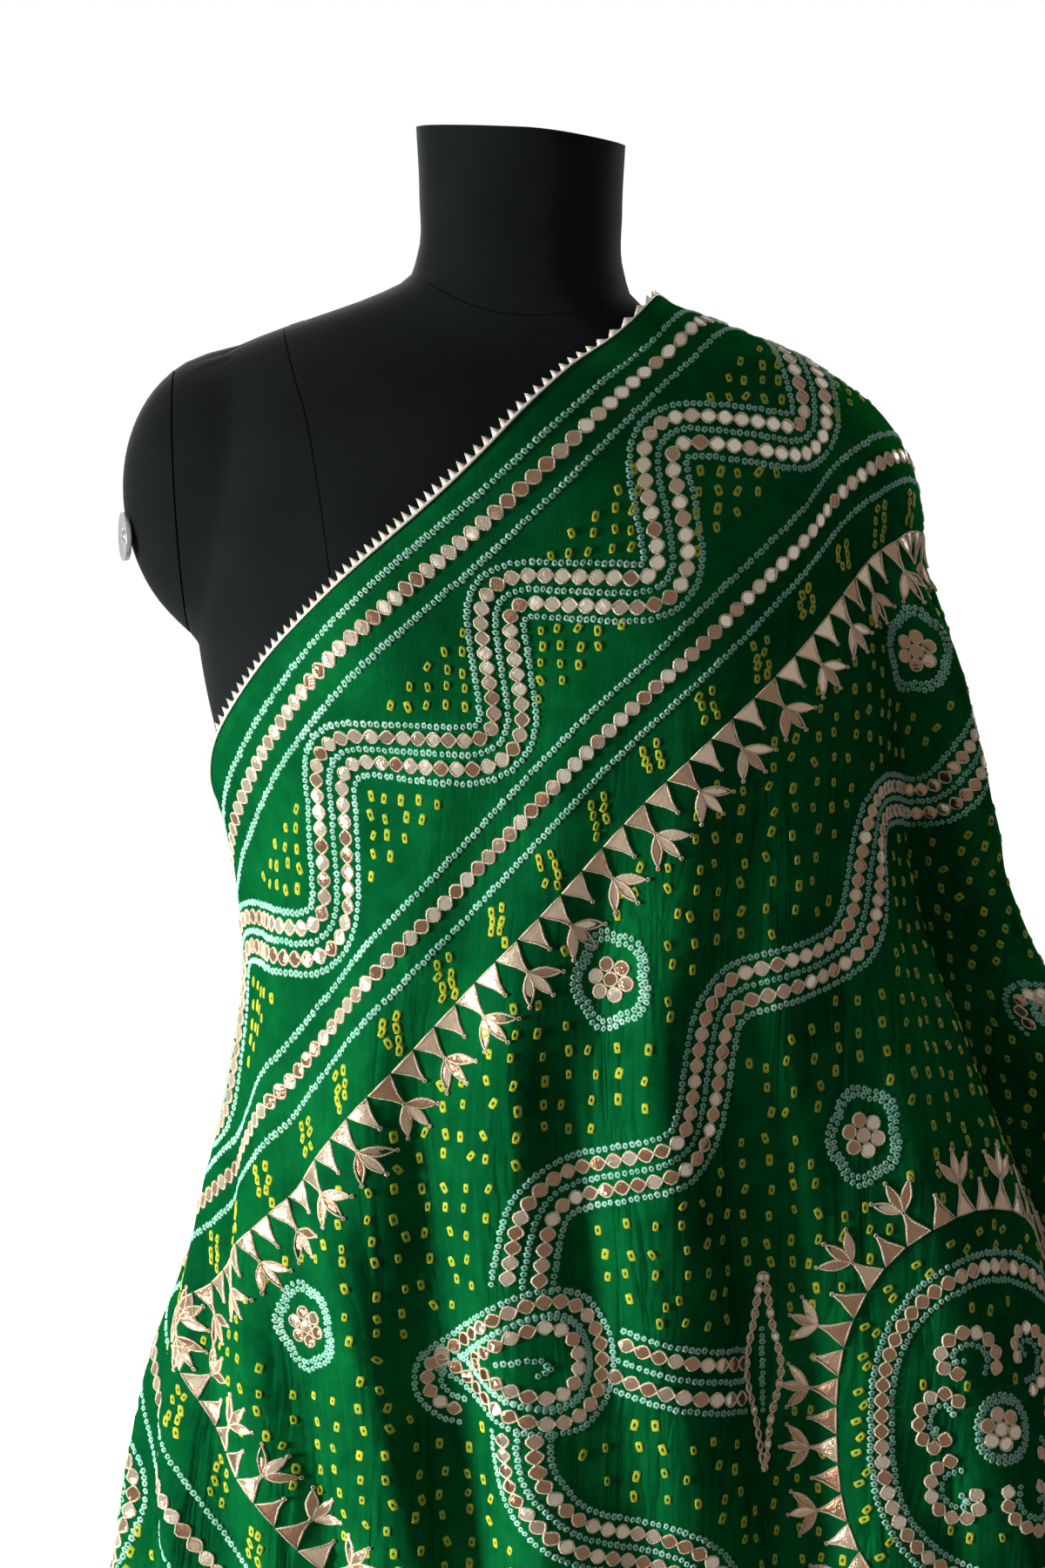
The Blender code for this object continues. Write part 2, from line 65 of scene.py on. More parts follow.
# across, drift a metre down, start, half width, depth
folds = [
    (-0.150, 0.06, 1.20, 0.026, -0.014), (-0.105, -0.10, 1.20, 0.030, 0.010),
    (-0.046, 0.05, 1.20, 0.028, -0.014), (0.012, 0.04, 1.14, 0.034, 0.010),
    (0.128, 0.03, 1.26, 0.030, -0.026), (0.196, 0.16, 1.26, 0.036, 0.012)]
# across and down from the shoulder's end, reach each way, lift
lifts = [
    (-0.160, 0.070, 0.075, 0.080, -0.014), (-0.310, 0.200, 0.100, 0.150, 0.016),
    (-0.280, 0.450, 0.110, 0.130, -0.015), (-0.420, 0.590, 0.120, 0.150, 0.010)]

# the form under it: height, half width, depth in front and behind
torso = np.array([
    (0.870, 0.158, 0.094, 0.098), (0.900, 0.167, 0.103, 0.110), (0.945, 0.170, 0.108, 0.114),
    (1.000, 0.165, 0.108, 0.106), (1.080, 0.147, 0.101, 0.088), (1.160, 0.135, 0.096, 0.078),
    (1.228, 0.143, 0.102, 0.082), (1.280, 0.160, 0.114, 0.086), (1.330, 0.170, 0.121, 0.089),
    (1.380, 0.174, 0.112, 0.091), (1.430, 0.174, 0.090, 0.088), (1.462, 0.169, 0.068, 0.074),
    (1.479, 0.154, 0.057, 0.064), (1.490, 0.131, 0.053, 0.058), (1.501, 0.102, 0.052, 0.055),
    (1.511, 0.077, 0.052, 0.054), (1.520, 0.0600, 0.052, 0.053), (1.532, 0.0545, 0.0515, 0.053),
    (1.565, 0.0530, 0.0515, 0.053), (1.599, 0.0545, 0.0530, 0.054)])
formShape = {
    "power": 2.2, "lean": 0.040, "leanFrom": (1.30, 1.42), "loaded": (0.007, 0.08),
    "bust": (0.076, 1.325, 0.042, 0.048, 0.012),
    "armCentre": (0.146, 0.004, 1.405), "armRadii": (0.058, 0.056, 0.0740),
}


def smoothStep(value):
    t = np.clip(value, 0.0, 1.0)
    return t * t * (3.0 - 2.0 * t)


def signedPower(value, power):
    return np.sign(value) * np.abs(value)**power


def unit(vectors):
    return vectors / np.maximum(np.linalg.norm(vectors, axis=-1, keepdims=True), 1e-12)


def columnCurve(rows, column, z):
    # a smooth curve through one column of a table, over the heights in its first
    heights, values = rows[:, 0], rows[:, column]
    slopes = np.gradient(values, heights)
    z = np.clip(z, heights[0], heights[-1])
    low = np.clip(np.searchsorted(heights, z) - 1, 0, len(heights) - 2)
    span = heights[low + 1] - heights[low]
    t = (z - heights[low]) / span
    return ((2 * t**3 - 3 * t**2 + 1) * values[low] + (t**3 - 2 * t**2 + t) * span * slopes[low]
            + (3 * t**2 - 2 * t**3) * values[low + 1] + (t**3 - t**2) * span * slopes[low + 1])


def bustDepth(x, z):
    across, height, halfWidth, halfHeight, depth = formShape["bust"]
    return depth * np.exp(-((np.abs(x) - across) / halfWidth)**2 - ((z - height) / halfHeight)**2)


def lean(x, z):
    low, high = formShape["leanFrom"]
    drop, reach = formShape["loaded"]
    sunk = formShape["lean"] * x + drop * smoothStep(x / reach)
    return sunk * smoothStep((z - low) / (high - low))


def torsoExcess(x, y, z):
    z = z + lean(x, z)
    depth = np.where(y < 0.0, columnCurve(torso, 2, z) + bustDepth(x, z), columnCurve(torso, 3, z))
    power = formShape["power"]
    return (np.abs(x / columnCurve(torso, 1, z))**power + np.abs(y / depth)**power)**(1.0 / power) - 1.0


def armExcess(x, y, z):
    offset = (np.stack([x, y, z + lean(x, z)], axis=-1) - formShape["armCentre"]) / formShape["armRadii"]
    return np.linalg.norm(offset, axis=-1) - 1.0


def pushClear(points, excess, clearance):
    # moves what lies too near a shape straight out of it
    step = 1e-4
    for _ in range(5):
        here = excess(*points.T)
        slope = np.stack([excess(*(points + axis).T) - here for axis in np.eye(3) * step], axis=1) / step
        steepness = np.maximum(np.linalg.norm(slope, axis=1), 1e-6)
        push = np.maximum(clearance - here / steepness, 0.0)
        points = points + slope / steepness[:, None] * push[:, None]
    return points


def sectionOutline(z, shares, behind):
    left, right, front, back = (columnCurve(sections, column, z)[:, None] for column in (1, 2, 3, behind))
    middle, half = 0.5 * (right - left), 0.5 * (right + left)
    start = np.arccos(np.clip((cloth["shoulderX"] - middle) / half, 0.0, 1.0)**(cloth["power"] / 2.0))
    angle = start + (shares[None, :] if behind == 5 else -shares[None, :] * 2.0 * start)
    power = 2.0 / cloth["power"]
    depth = np.where(np.sin(angle) > 0.0, front, back)
    return middle + half * signedPower(np.cos(angle), power), -depth * signedPower(np.sin(angle), power)


def foldedOutline(z, shares, behind):
    x, y = sectionOutline(z, shares, behind)
    dx, dy = np.gradient(x, axis=1), np.gradient(y, axis=1)
    length = np.maximum(np.hypot(dx, dy), 1e-9)
    side = np.sign((dy * x - dx * y).sum(axis=1, keepdims=True))
    nx, ny = side * dy / length, -side * dx / length
    edge, reach = cloth["foldFront"]
    inFront = smoothStep((edge - y) / reach)
    lift = np.zeros_like(x)
    for across, drift, starts, halfWidth, depth in folds:
        drop = starts - z[:, None]
        grown = smoothStep(drop / cloth["foldGrows"])
        lift += depth * grown * inFront * np.exp(-((x - across - drift * drop) / halfWidth)**2)
    spacing, depth = cloth["wrapFold"]
    grown = smoothStep((cloth["wrapStarts"] - z[:, None]) / cloth["wrapGrows"])
    lift += depth * grown * (1.0 - inFront) * np.sin(2.0 * math.pi * x / spacing)
    return x + nx * lift, y + ny * lift, nx, ny


def alongRows(distance, x, y, *carried):
    # the spot at a distance along each row's outline
    steps = np.hypot(np.diff(x, axis=1), np.diff(y, axis=1))
    run = np.concatenate([np.zeros((len(x), 1)), np.cumsum(steps, axis=1)], axis=1)
    distance = np.clip(distance, 0.0, run[:, -1] - 1e-6)
    index = np.clip((run <= distance[:, None]).sum(axis=1) - 1, 0, x.shape[1] - 2)
    row = np.arange(len(x))
    t = (distance - run[row, index]) / np.maximum(run[row, index + 1] - run[row, index], 1e-9)
    return [(1.0 - t) * value[row, index] + t * value[row, index + 1] for value in (x, y, *carried)]


def flute(share, gather):
    # how far along and how far out a spot of one flute lies, for the cloth gathered into it
    ring = (np.arange(cloth["fluteSteps"]) + 0.5) / cloth["fluteSteps"]
    wave = np.sin(2 * math.pi * ring)
    swings = np.linspace(0.0, 2.0, cloth["swingSteps"])
    swing = np.interp(gather, 1.0 / np.cos(np.outer(swings, wave)).mean(axis=1), swings)[:, None]
    bend = swing * np.sin(2 * math.pi * share[:, None] * ring)
    whole = np.cos(swing * wave).mean(axis=1)
    return share * np.cos(bend).mean(axis=1) / whole, share * np.sin(bend).mean(axis=1) / whole


def hangFront(z, distance):
    x, y, _, _ = foldedOutline(z, np.linspace(0.0, 1.5 * math.pi, cloth["frontSteps"]), 5)
    return alongRows(distance, x, y)


def hangSide(z, drop, angle, fan):
    x, y, nx, ny = foldedOutline(z, np.linspace(0.0, 1.0, cloth["sideSteps"]), 4)
    length = np.hypot(np.diff(x, axis=1), np.diff(y, axis=1)).sum(axis=1)
    flat, count = cloth["flatFan"], cloth["flutes"]
    flatEnd = np.minimum(drop * flat, 0.5 * length)
    base = length - flatEnd
    gather = np.maximum(drop * (fan - flat) / base, 1.0)
    share = np.clip((angle - flat) / (fan - flat), 0.0, 1.0) * count
    whole = np.minimum(np.floor(share), count - 1)
    progress, swing = flute(share - whole, gather)
    place = flatEnd * np.minimum(angle / flat, 1.0) + base * (whole + progress) / count
    x, y, nx, ny = alongRows(place, x, y, nx, ny)
    size = swing * base / count / np.maximum(np.hypot(nx, ny), 1e-6)
    return x + nx * size, y + ny * size


def hangBack(z, distance):
    x, y = sectionOutline(z, np.array([1.0]), 4)
    grown = smoothStep((cloth["backStarts"] - z) / cloth["foldGrows"])
    spacing, depth = cloth["backFold"]
    ripple = depth * grown * np.sin(2.0 * math.pi * distance / spacing)
    return x[:, 0] - distance * (1.0 - cloth["backGather"] * grown), y[:, 0] + ripple


def fromShoulder(u, v):
    # along and down the slant from the shoulder's end, on the flat cloth
    du, dv = u - cloth["shoulderU"], v - cloth["shoulderV"]
    c, s = math.cos(cloth["bias"]), math.sin(cloth["bias"])
    return c * du + s * dv, -s * du + c * dv


def drape(u, v):
    # where flat spots of the cloth hang
    p, d = fromShoulder(u, v)
    fan = math.pi - 2.0 * cloth["slope"]
    angle = np.arctan2(p, d)
    side = (angle > 0.0) & (angle < fan)
    back = (angle >= fan) | (angle <= -0.5 * math.pi - cloth["slope"])
    front = ~side & ~back

    rise = math.tan(cloth["slope"])
    backP = math.cos(fan) * p - math.sin(fan) * d
    backD = math.sin(fan) * p + math.cos(fan) * d
    across = np.where(side, 0.0, np.where(back, -np.abs(backP), p))
    onLine = np.clip(across, cloth["neckP"], 0.0)
    down = np.where(side, np.hypot(p, d), np.where(back, backD, d) - rise * onLine)
    down = np.maximum(down, 0.0)
    facing = np.where(side, -0.5 * math.pi + math.pi * angle / fan,
                      np.where(back, 0.5 * math.pi, -0.5 * math.pi))

    steps = (np.arange(cloth["turnSteps"]) + 0.5) / cloth["turnSteps"]
    tilt = 0.5 * math.pi * (1.0 - np.exp(-np.outer(down, steps) / cloth["turn"]))
    reach, drop = down * np.cos(tilt).mean(axis=1), down * np.sin(tilt).mean(axis=1)
    spread = np.where(side, cloth["spread"] * np.sin(math.pi * np.clip(angle / fan, 0.0, 1.0)), 0.0)
    z = cloth["shoulderZ"] - rise * onLine - drop * (1.0 - cloth["takenUp"] - spread)
    for placeP, placeD, reachP, reachD, lift in lifts:
        z += front * lift * np.exp(-((p - placeP) / reachP)**2 - ((d - placeD) / reachD)**2)
    top = np.stack([cloth["shoulderX"] + np.where(side, 0.0, across) + reach * np.cos(facing),
                    reach * np.sin(facing)])

    hung = np.zeros_like(top)
    if front.any():
        hung[:, front] = hangFront(z[front], -p[front])
    if side.any():
        hung[:, side] = hangSide(z[side], down[side], angle[side], fan)
    if back.any():
        hung[:, back] = hangBack(z[back], -across[back])
    low, high = cloth["topBlend"]
    share = smoothStep((down - low) / (high - low))
    points = np.column_stack([*((1 - share) * top + share * hung), z])
    for excess in (armExcess, torsoExcess, armExcess):
        points = pushClear(points, excess, cloth["clear"])
    return points


# small creases laid over the hang: waves run down the slant, swayed and uneven, deepest on the front
crinkle = {
    "spacing": (0.064, 0.027), "depth": (0.0085, 0.0016), "lift": 0.0030,
    "sway": 0.045, "swayWaves": (3.0, 5.0), "smallSway": 0.02, "smallWaves": (9.0, -4.0),
    "uneven": 0.4, "unevenWaves": (11.0, 7.0),
    "starts": (0.16, 0.52), "elsewhere": 0.15, "frontEnds": (0.75, 0.5), "frontStarts": (1.9, 0.3),
}
# the silk is pulled a little out of line between the shoulder and the front: place, reach, shift across
pulls = ((0.660, 0.085, -0.0065), (0.830, 0.060, 0.0040))
pullFades = (0.016, 0.4)


def crinkled(u, v):
    p, d = fromShoulder(u, v)

    def wavy(name, shift=0.0):
        alongP, alongD = crinkle[name]
        return np.sin(alongP * p + alongD * d + shift)

    ripple = np.zeros_like(p)
    for number, (spacing, depth) in enumerate(zip(crinkle["spacing"], crinkle["depth"])):
        sway = crinkle["sway"] * wavy("swayWaves", number) + crinkle["smallSway"] * wavy("smallWaves")
        patches = 1.0 - crinkle["uneven"] + crinkle["uneven"] * wavy("unevenWaves")
        ripple += depth * np.sin(2.0 * math.pi * (p + sway) / spacing) * patches
    low, high = crinkle["starts"]
    ripple = (ripple + crinkle["lift"]) * smoothStep((np.hypot(p, d) - low) / (high - low))
    angle = np.arctan2(p, d)
    (end, endReach), (start, startReach) = crinkle["frontEnds"], crinkle["frontStarts"]
    inFront = smoothStep((end - angle) / endReach) * smoothStep((angle + start) / startReach)
    return ripple * (crinkle["elsewhere"] + (1.0 - crinkle["elsewhere"]) * inFront)


def hangGrid():
    # the hung cloth as a fine grid, which everything sewn on it is laid on
    spare, shape = cloth["spare"], cloth["cells"]
    steps = [cloth["length"] / shape[0], cloth["width"] / shape[1]]
    u, v = ((np.arange(count + 2 * spare + 1) - spare) * step for count, step in zip(shape, steps))
    flat = [plane.ravel() for plane in np.meshgrid(u, v, indexing="ij")]
    starts = range(0, len(flat[0]), cloth["atOnce"])
    points = np.concatenate([drape(*(plane[k:k + cloth["atOnce"]] for plane in flat)) for k in starts])
    points = points.reshape(len(u), len(v), 3)
    for _ in range(cloth["roundings"]):          # rounds off the edges where one kind of hang meets the next
        soft = points.copy()
        soft[1:-1, 1:-1] = (points[:-2, 1:-1] + points[2:, 1:-1] + points[1:-1, :-2] + points[1:-1, 2:]) / 4
        points = 0.5 * points + 0.5 * soft
    normals = gridNormals(points)
    sign = -1.0 if normals[shape[0] // 3, shape[1] // 3, 1] > 0.0 else 1.0
    points = points + sign * normals * crinkled(*flat).reshape(len(u), len(v), 1)
    return {"u": u, "v": v, "steps": steps, "points": points, "normals": sign * gridNormals(points),
            "sign": sign}


def gridNormals(points):
    return unit(np.cross(np.gradient(points, axis=0), np.gradient(points, axis=1)))


grid = hangGrid()
print("cloth hung:", grid["points"].shape[0] * grid["points"].shape[1], "spots")


def onCloth(u, v, height):
    # places on the outer face for flat spots u, v, raised by height
    u, v, height = np.broadcast_arrays(u, v, height)
    upper, lower = pullFades
    inside = smoothStep(v / upper) * smoothStep((cloth["width"] - v) / lower)
    v = v + inside * sum(shift * np.exp(-((u - place) / reach)**2) for place, reach, shift in pulls)
    cells, shares = [], []
    for value, line, step in zip((u, v), (grid["u"], grid["v"]), grid["steps"]):
        cell = (value - line[0]) / step
        cells.append(np.clip(cell.astype(int), 0, len(line) - 2))
        shares.append(np.clip(cell - cells[-1], 0.0, 1.0)[..., None])
    (i, j), (a, b) = cells, shares
    (p00, p01, p10, p11), (n00, n01, n10, n11) = (
        [grid[what][i + m, j + n] for m in (0, 1) for n in (0, 1)] for what in ("points", "normals"))
    place = np.where(a >= b, p00 + a * (p10 - p00) + b * (p11 - p10), p00 + b * (p01 - p00) + a * (p11 - p01))
    normal = unit((1 - a) * ((1 - b) * n00 + b * n01) + a * ((1 - b) * n10 + b * n11))
    return place + normal * (height + 0.5 * cloth["thick"])[..., None]


def meshObject(name, points, corners, tint=None, uv=None):
    mesh = bpy.data.meshes.new(name)
    mesh.vertices.add(len(points))
    mesh.vertices.foreach_set("co", points.astype(np.float32).ravel())
    mesh.loops.add(corners.size)
    mesh.loops.foreach_set("vertex_index", corners.astype(np.int32).ravel())
    mesh.polygons.add(len(corners))
    mesh.polygons.foreach_set("loop_start", np.arange(0, corners.size, corners.shape[1], dtype=np.int32))
    mesh.polygons.foreach_set("use_smooth", np.ones(len(corners), dtype=bool))
    if tint is not None:
        mesh.attributes.new("tint", "FLOAT", "POINT").data.foreach_set("value", tint.astype(np.float32))
    if uv is not None:
        layer = mesh.uv_layers.new(name="flat")
        layer.data.foreach_set("uv", uv[corners.ravel()].astype(np.float32).ravel())
    mesh.update(calc_edges=True)
    mesh.validate()
    piece = bpy.data.objects.new(name, mesh)
    bpy.context.scene.collection.objects.link(piece)
    return piece


def between(count, rows, closed=False):
    # four-cornered faces between neighbouring rows of points, each row an open or a closed line
    here = np.arange(count if closed else count - 1)
    after = (here + 1) % count
    strip = np.column_stack([here, after, after + count, here + count])
    return np.vstack([strip + row * count for row in range(rows - 1)])


def halved(corners):
    return np.vstack([corners[:, :3], corners[:, [0, 2, 3]]])


def closingFan(first, count):
    # triangles from a ring of points, of which one is the first, to the point that comes after it
    here = np.arange(count)
    return np.column_stack([here + first, (here + 1) % count + first, np.full(count, first + count)])


def raised(outline, height):
    return np.column_stack([outline, np.full(len(outline), height)])


# everything sewn or dyed is gathered here by piece: points, faces and tints
trays = {}


def toTray(name, points, corners, tint):
    tray = trays.setdefault(name, {"points": [], "corners": [], "tint": [], "count": 0})
    tray["points"].append(points)
    tray["corners"].append(corners + tray["count"])
    tray["tint"].append(tint)
    tray["count"] += len(points)


def shares(name, marks, parts):
    # work with very many marks is kept as two or four pieces, so that each stays a fair size
    front = marks[:, 0] < 0.5 * cloth["length"]
    upper = marks[:, 1] < 0.5 * cloth["width"]
    if parts == 1:
        return [(name, np.ones(len(marks), bool))]
    ends = [(name + "_front", front), (name + "_back", ~front)]
    if parts == 2:
        return ends
    return [(f"{end}_{side}", chosen & half) for end, chosen in ends
            for side, half in (("upper", upper), ("lower", ~upper))]


def stamp(name, shape, marks, tint=0.0, parts=2, tilt=0.0):
    # shape: points (a, b, height), corners, tint; marks: rows of u, v, turn, size; tilt: the most one leans
    tint = np.broadcast_to(tint, len(marks))
    leans = dice.uniform(-tilt, tilt, (len(marks), 2))
    a, b, height = shape["points"].T[:, None]
    for share, chosen in shares(name, marks, parts):
        rows = marks[chosen]
        if not len(rows):
            continue
        across, up = a * rows[:, 3:4], b * rows[:, 3:4]
        level = height + leans[chosen, 0:1] * across + leans[chosen, 1:2] * up
        c, s = np.cos(rows[:, 2:3]), np.sin(rows[:, 2:3])
        points = onCloth(rows[:, 0:1] + across * c - up * s, rows[:, 1:2] + across * s + up * c, level)
        corners = shape["corners"] + (np.arange(len(rows)) * len(shape["points"]))[:, None, None]
        toTray(share, points.reshape(-1, 3), corners.reshape(-1, 3),
               (shape["tint"] + tint[chosen][:, None]).ravel())


def ringShape(radii, heights, sides, tints=0.0, stretch=1.0, square=0.0, capped=False):
    # rings of points one inside the next, at their own heights; square pulls the corners in
    angle = 2 * math.pi * np.arange(sides) / sides
    bulge = 1.0 + square * np.cos(4 * angle)
    outline = np.column_stack([bulge * stretch * np.cos(angle), bulge * np.sin(angle)])
    points = [raised(radius * outline, height) for radius, height in zip(radii, heights)]
    corners = [halved(between(sides, len(radii), True))]
    tint = np.repeat(np.broadcast_to(tints, len(radii)), sides)
    if capped:
        points.append([(0.0, 0.0, heights[-1])])
        corners.append(closingFan(sides * (len(radii) - 1), sides))
        tint = np.append(tint, tint[-1])
    return {"points": np.vstack(points), "corners": np.vstack(corners), "tint": tint}


def foilAndBraid(outline):
    # a foil shape from its outline, and the braid that runs round it
    outline = np.array(outline)
    count = len(outline)
    centre = outline.mean(axis=0)
    inner = centre + (outline - centre) * foil["inner"]
    points = np.vstack([raised(outline, foil["edge"]), raised(inner, foil["dome"]),
                        [(*centre, foil["dome"] * foil["crown"])]])
    corners = np.vstack([halved(between(count, 2, True)), closingFan(count, count)])
    outwards = sideways(unit(np.roll(outline, -1, axis=0) - np.roll(outline, 1, axis=0)))
    half = 0.5 * foil["braidWide"]
    braid = np.vstack([raised(outline + outwards * offset, height) for offset, height in
                       ((half, work["edge"]), (0.0, foil["braidHigh"]), (-half, foil["braidInner"]))])
    return [{"points": shape, "corners": faces, "tint": np.zeros(len(shape))}
            for shape, faces in ((points, corners), (braid, halved(between(count, 3, True))))]


def sideways(tangent):
    return np.column_stack([tangent[:, 1], -tangent[:, 0]])


def pointing(turn):
    return np.stack([np.cos(turn), np.sin(turn)], axis=-1)


# paths on the flat cloth, in metres along its length and across its width
fineStep = 0.001
samples = {"drop": 120, "petals": 160, "ring": 220, "heart": 60, "wave": 260, "endWave": 80,
           "neckSeam": 50, "neckBehind": 40, "panelSeam": 10, "middleSeam": 20}


def spaced(path, step, closed=False):
    # points at equal steps along a path, with the direction at each
    path = np.asarray(path, dtype=float)
    if closed:
        path = np.vstack([path, path[:1]])
    run = np.concatenate([[0.0], np.cumsum(np.hypot(*np.diff(path, axis=0).T))])
    count = max(int(round(run[-1] / step)), 1)
    stops = np.linspace(0.0, run[-1], count + 1)[:-1 if closed else None]
    points = np.column_stack([np.interp(stops, run, path[:, k]) for k in range(2)])
    if closed:
        tangent = np.roll(points, -1, axis=0) - np.roll(points, 1, axis=0)
    else:
        tangent = np.gradient(points, axis=0)
    return points, unit(tangent), run[-1] / count


def softened(path, radius, closed=False):
    points, _, step = spaced(path, fineStep, closed)
    reach = max(int(radius / step), 1)
    if closed:
        ends = points[-reach:], points[:reach]
    else:
        ends = 2 * points[0] - points[reach:0:-1], 2 * points[-1] - points[-2:-reach - 2:-1]
    padded = np.vstack([ends[0], points, ends[1]])
    weights = np.ones(2 * reach + 1) / (2 * reach + 1)
    return np.column_stack([np.convolve(padded[:, k], weights, "valid") for k in range(2)])


def beside(path, distance, closed=False):
    points, tangent, _ = spaced(path, fineStep, closed)
    return points + distance * sideways(tangent)


def throughPoints(points, closed=False, each=14):
    # a smooth curve through a few points
    points = np.asarray(points, dtype=float)
    if closed:
        ring = np.vstack([points[-1:], points, points[:2]])
    else:
        ring = np.vstack([2 * points[0] - points[1], points, 2 * points[-1] - points[-2]])
    t = (np.arange(each) / each)[:, None]
    curve = np.vstack([0.5 * (2 * p1 + (p2 - p0) * t + (2 * p0 - 5 * p1 + 4 * p2 - p3) * t**2
                              + (3 * p1 - p0 - 3 * p2 + p3) * t**3)
                       for p0, p1, p2, p3 in zip(ring, ring[1:], ring[2:], ring[3:])])
    return curve if closed else np.vstack([curve, points[-1:]])


def mirrored(path, ways):
    # the same path in another quarter of the cloth
    path = np.array(path, dtype=float)
    for k, far in enumerate((cloth["length"], cloth["width"])):
        if ways[k] < 0:
            path[:, k] = far - path[:, k]
    return path


asDrawn = ((1, 1),)                              # the quarters of the cloth that a motif is laid in
halves = ((1, 1), (-1, 1))
quarters = ((1, 1), (-1, 1), (1, -1), (-1, -1))

# the work: foil mirrors held by two braids, dyed rings and dots, foil shapes
work = {
    "edge": 0.0001, "slant": math.radians(136.0), "turned": 0.25,
    "mirrorPitch": 0.0081, "mirrorRadius": 0.0033, "mirrorTilt": 0.13,
    "braidSwing": 0.0036, "braidWide": 0.0012, "braidHigh": 0.0011, "braidSteps": 5,
    "mintPitch": 0.0034, "mintRadius": 0.00200, "mintStretch": 0.86,
    "mintFromMirrors": 0.0069, "chainsApart": 0.0072,
    "yellowRadius": 0.00195, "yellowStretch": 1.62, "yellowSquare": -0.10,
    "mirrorParts": np.array([1.0, 0.6]), "mirrorHeights": (0.0005, 0.0007),
    "eyeletRadii": (0.0042, 0.0037, 0.0031), "eyeletHeights": (0.0001, 0.0011, 0.0005),
    "knotRadii": (0.0013, 0.0009, 0.0004), "knotHeights": (0.0001, 0.0013, 0.0004),
    "rimParts": np.array([1.0, 0.72, 0.24]), "rimHeights": (0.0001, 0.0007, 0.0001),
    "rimTints": (0.55, 1.5, 0.25),
}
foil = {"inner": 0.6, "edge": 0.0003, "dome": 0.0006, "crown": 1.1,
        "braidWide": 0.0011, "braidHigh": 0.0012, "braidInner": 0.0004}
marks = {kind: [] for kind in ("mint", "yellow", "mirror", "eyelet", "triangle", "leaf")}
braids = []                                      # the path of each one


def heading(direction):
    return np.arctan2(direction[..., 1], direction[..., 0])


def addMarks(kind, points, turn, size=1.0):
    points = np.atleast_2d(points)
    marks[kind].append(np.column_stack([points, np.broadcast_to(turn, len(points)),
                                        np.broadcast_to(size, len(points))]))


def mintRow(path, closed=False, copies=asDrawn):
    for ways in copies:
        points, tangent, _ = spaced(mirrored(path, ways), work["mintPitch"], closed)
        addMarks("mint", points, heading(tangent))


def mirrorChain(path, closed=False, copies=asDrawn, pitch=work["mirrorPitch"], slim=1.0):
    for ways in copies:
        line = mirrored(path, ways)
        _, _, step = spaced(line, pitch, closed)
        size = slim * step / work["mirrorPitch"]
        middles, directions, _ = spaced(line, step / 2, closed)
        addMarks("mirror", middles[1::2], heading(directions[1::2]), size)
        fine, direction, _ = spaced(line, step / work["braidSteps"], closed)
        swing = size * work["braidSwing"] * np.sin(math.pi * np.arange(len(fine)) / work["braidSteps"])
        for side in (1.0, -1.0):
            wave = fine + side * swing[:, None] * sideways(direction)
            # the two braids cross halfway between mirrors, so a closed one meets its own start there
            braids.append(np.vstack([wave, wave[:1]]) if closed else wave)


# the border, all the way round
border = {
    "endStretch": 1.257,                         # the end borders are this much deeper than the side ones
    "mintRows": (0.0165, 0.0400), "chain": 0.0277,
    "zigzagOut": 0.0490, "zigzagIn": 0.1220, "zigzagCorner": 0.028, "chainCorner": 0.003,
    "innerChain": 0.1465, "innerMint": 0.0130,
    "triangles": 0.186, "trianglePitch": 0.0155, "triangleTip": 0.0150, "splay": (-42.0, 0.0, 42.0),
    "clusterStep": 0.0096, "clusterAway": 0.0345, "clusterRows": 5,
    "panelFrom": 0.215, "panelRoseAndShade": 0.38,
}
# where the zigzag turns, along the length up to its middle and across the width up to its middle
turnsOut = (0.245, 0.405, 0.552, 0.682, 0.787, 0.897)
turnsIn = (0.153, 0.327, 0.484, 0.624, 0.740, 0.847, 0.950)
turnsOutEnd = (0.1755, 0.2825, 0.3895, 0.4965)
turnsInEnd = (0.122, 0.229, 0.336, 0.443, 0.550)


def framePath(w):
    # a rectangle at w from the cloth's edges
    across, ends = w, w * border["endStretch"]
    length, width = cloth["length"], cloth["width"]
    return [(ends, across), (length - ends, across), (length - ends, width - across), (ends, width - across)]


def zigzagPath():
    outer, inner, stretch = border["zigzagOut"], border["zigzagIn"], border["endStretch"]
    side = [(turnsIn[0], inner)]
    for out, back in zip(turnsOut, turnsIn[1:]):
        side += [(out, outer), (back, inner)]
    side += [(cloth["length"] - u, v) for u, v in side[-2::-1]]
    end = []
    for out, back in zip(turnsOutEnd, turnsInEnd[1:]):
        end += [(outer * stretch, out), (inner * stretch, back)]
    end += [(u, cloth["width"] - v) for u, v in end[-2::-1]]
    side, end = np.array(side), np.array(end)
    return np.vstack([side, mirrored(end, (-1, 1)), mirrored(side, (-1, -1)), end[::-1]])


def layBorder():
    for w in border["mintRows"]:
        mintRow(framePath(w), True)
    mirrorChain(framePath(border["chain"]), True)
    zigzag = softened(zigzagPath(), border["zigzagCorner"], True)

    def along(distance):
        return softened(beside(zigzag, distance, True), border["chainCorner"], True)

    for side in (-1.0, 1.0):
        mirrorChain(along(side * work["chainsApart"]), True)
    for side in (-1.0, 0.0, 1.0):
        mintRow(along(side * (work["chainsApart"] + work["mintFromMirrors"])), True)
    mirrorChain(framePath(border["innerChain"]), True)
    for side in (-1.0, 1.0):
        mintRow(framePath(border["innerChain"] + side * border["innerMint"]), True)


layBorder()

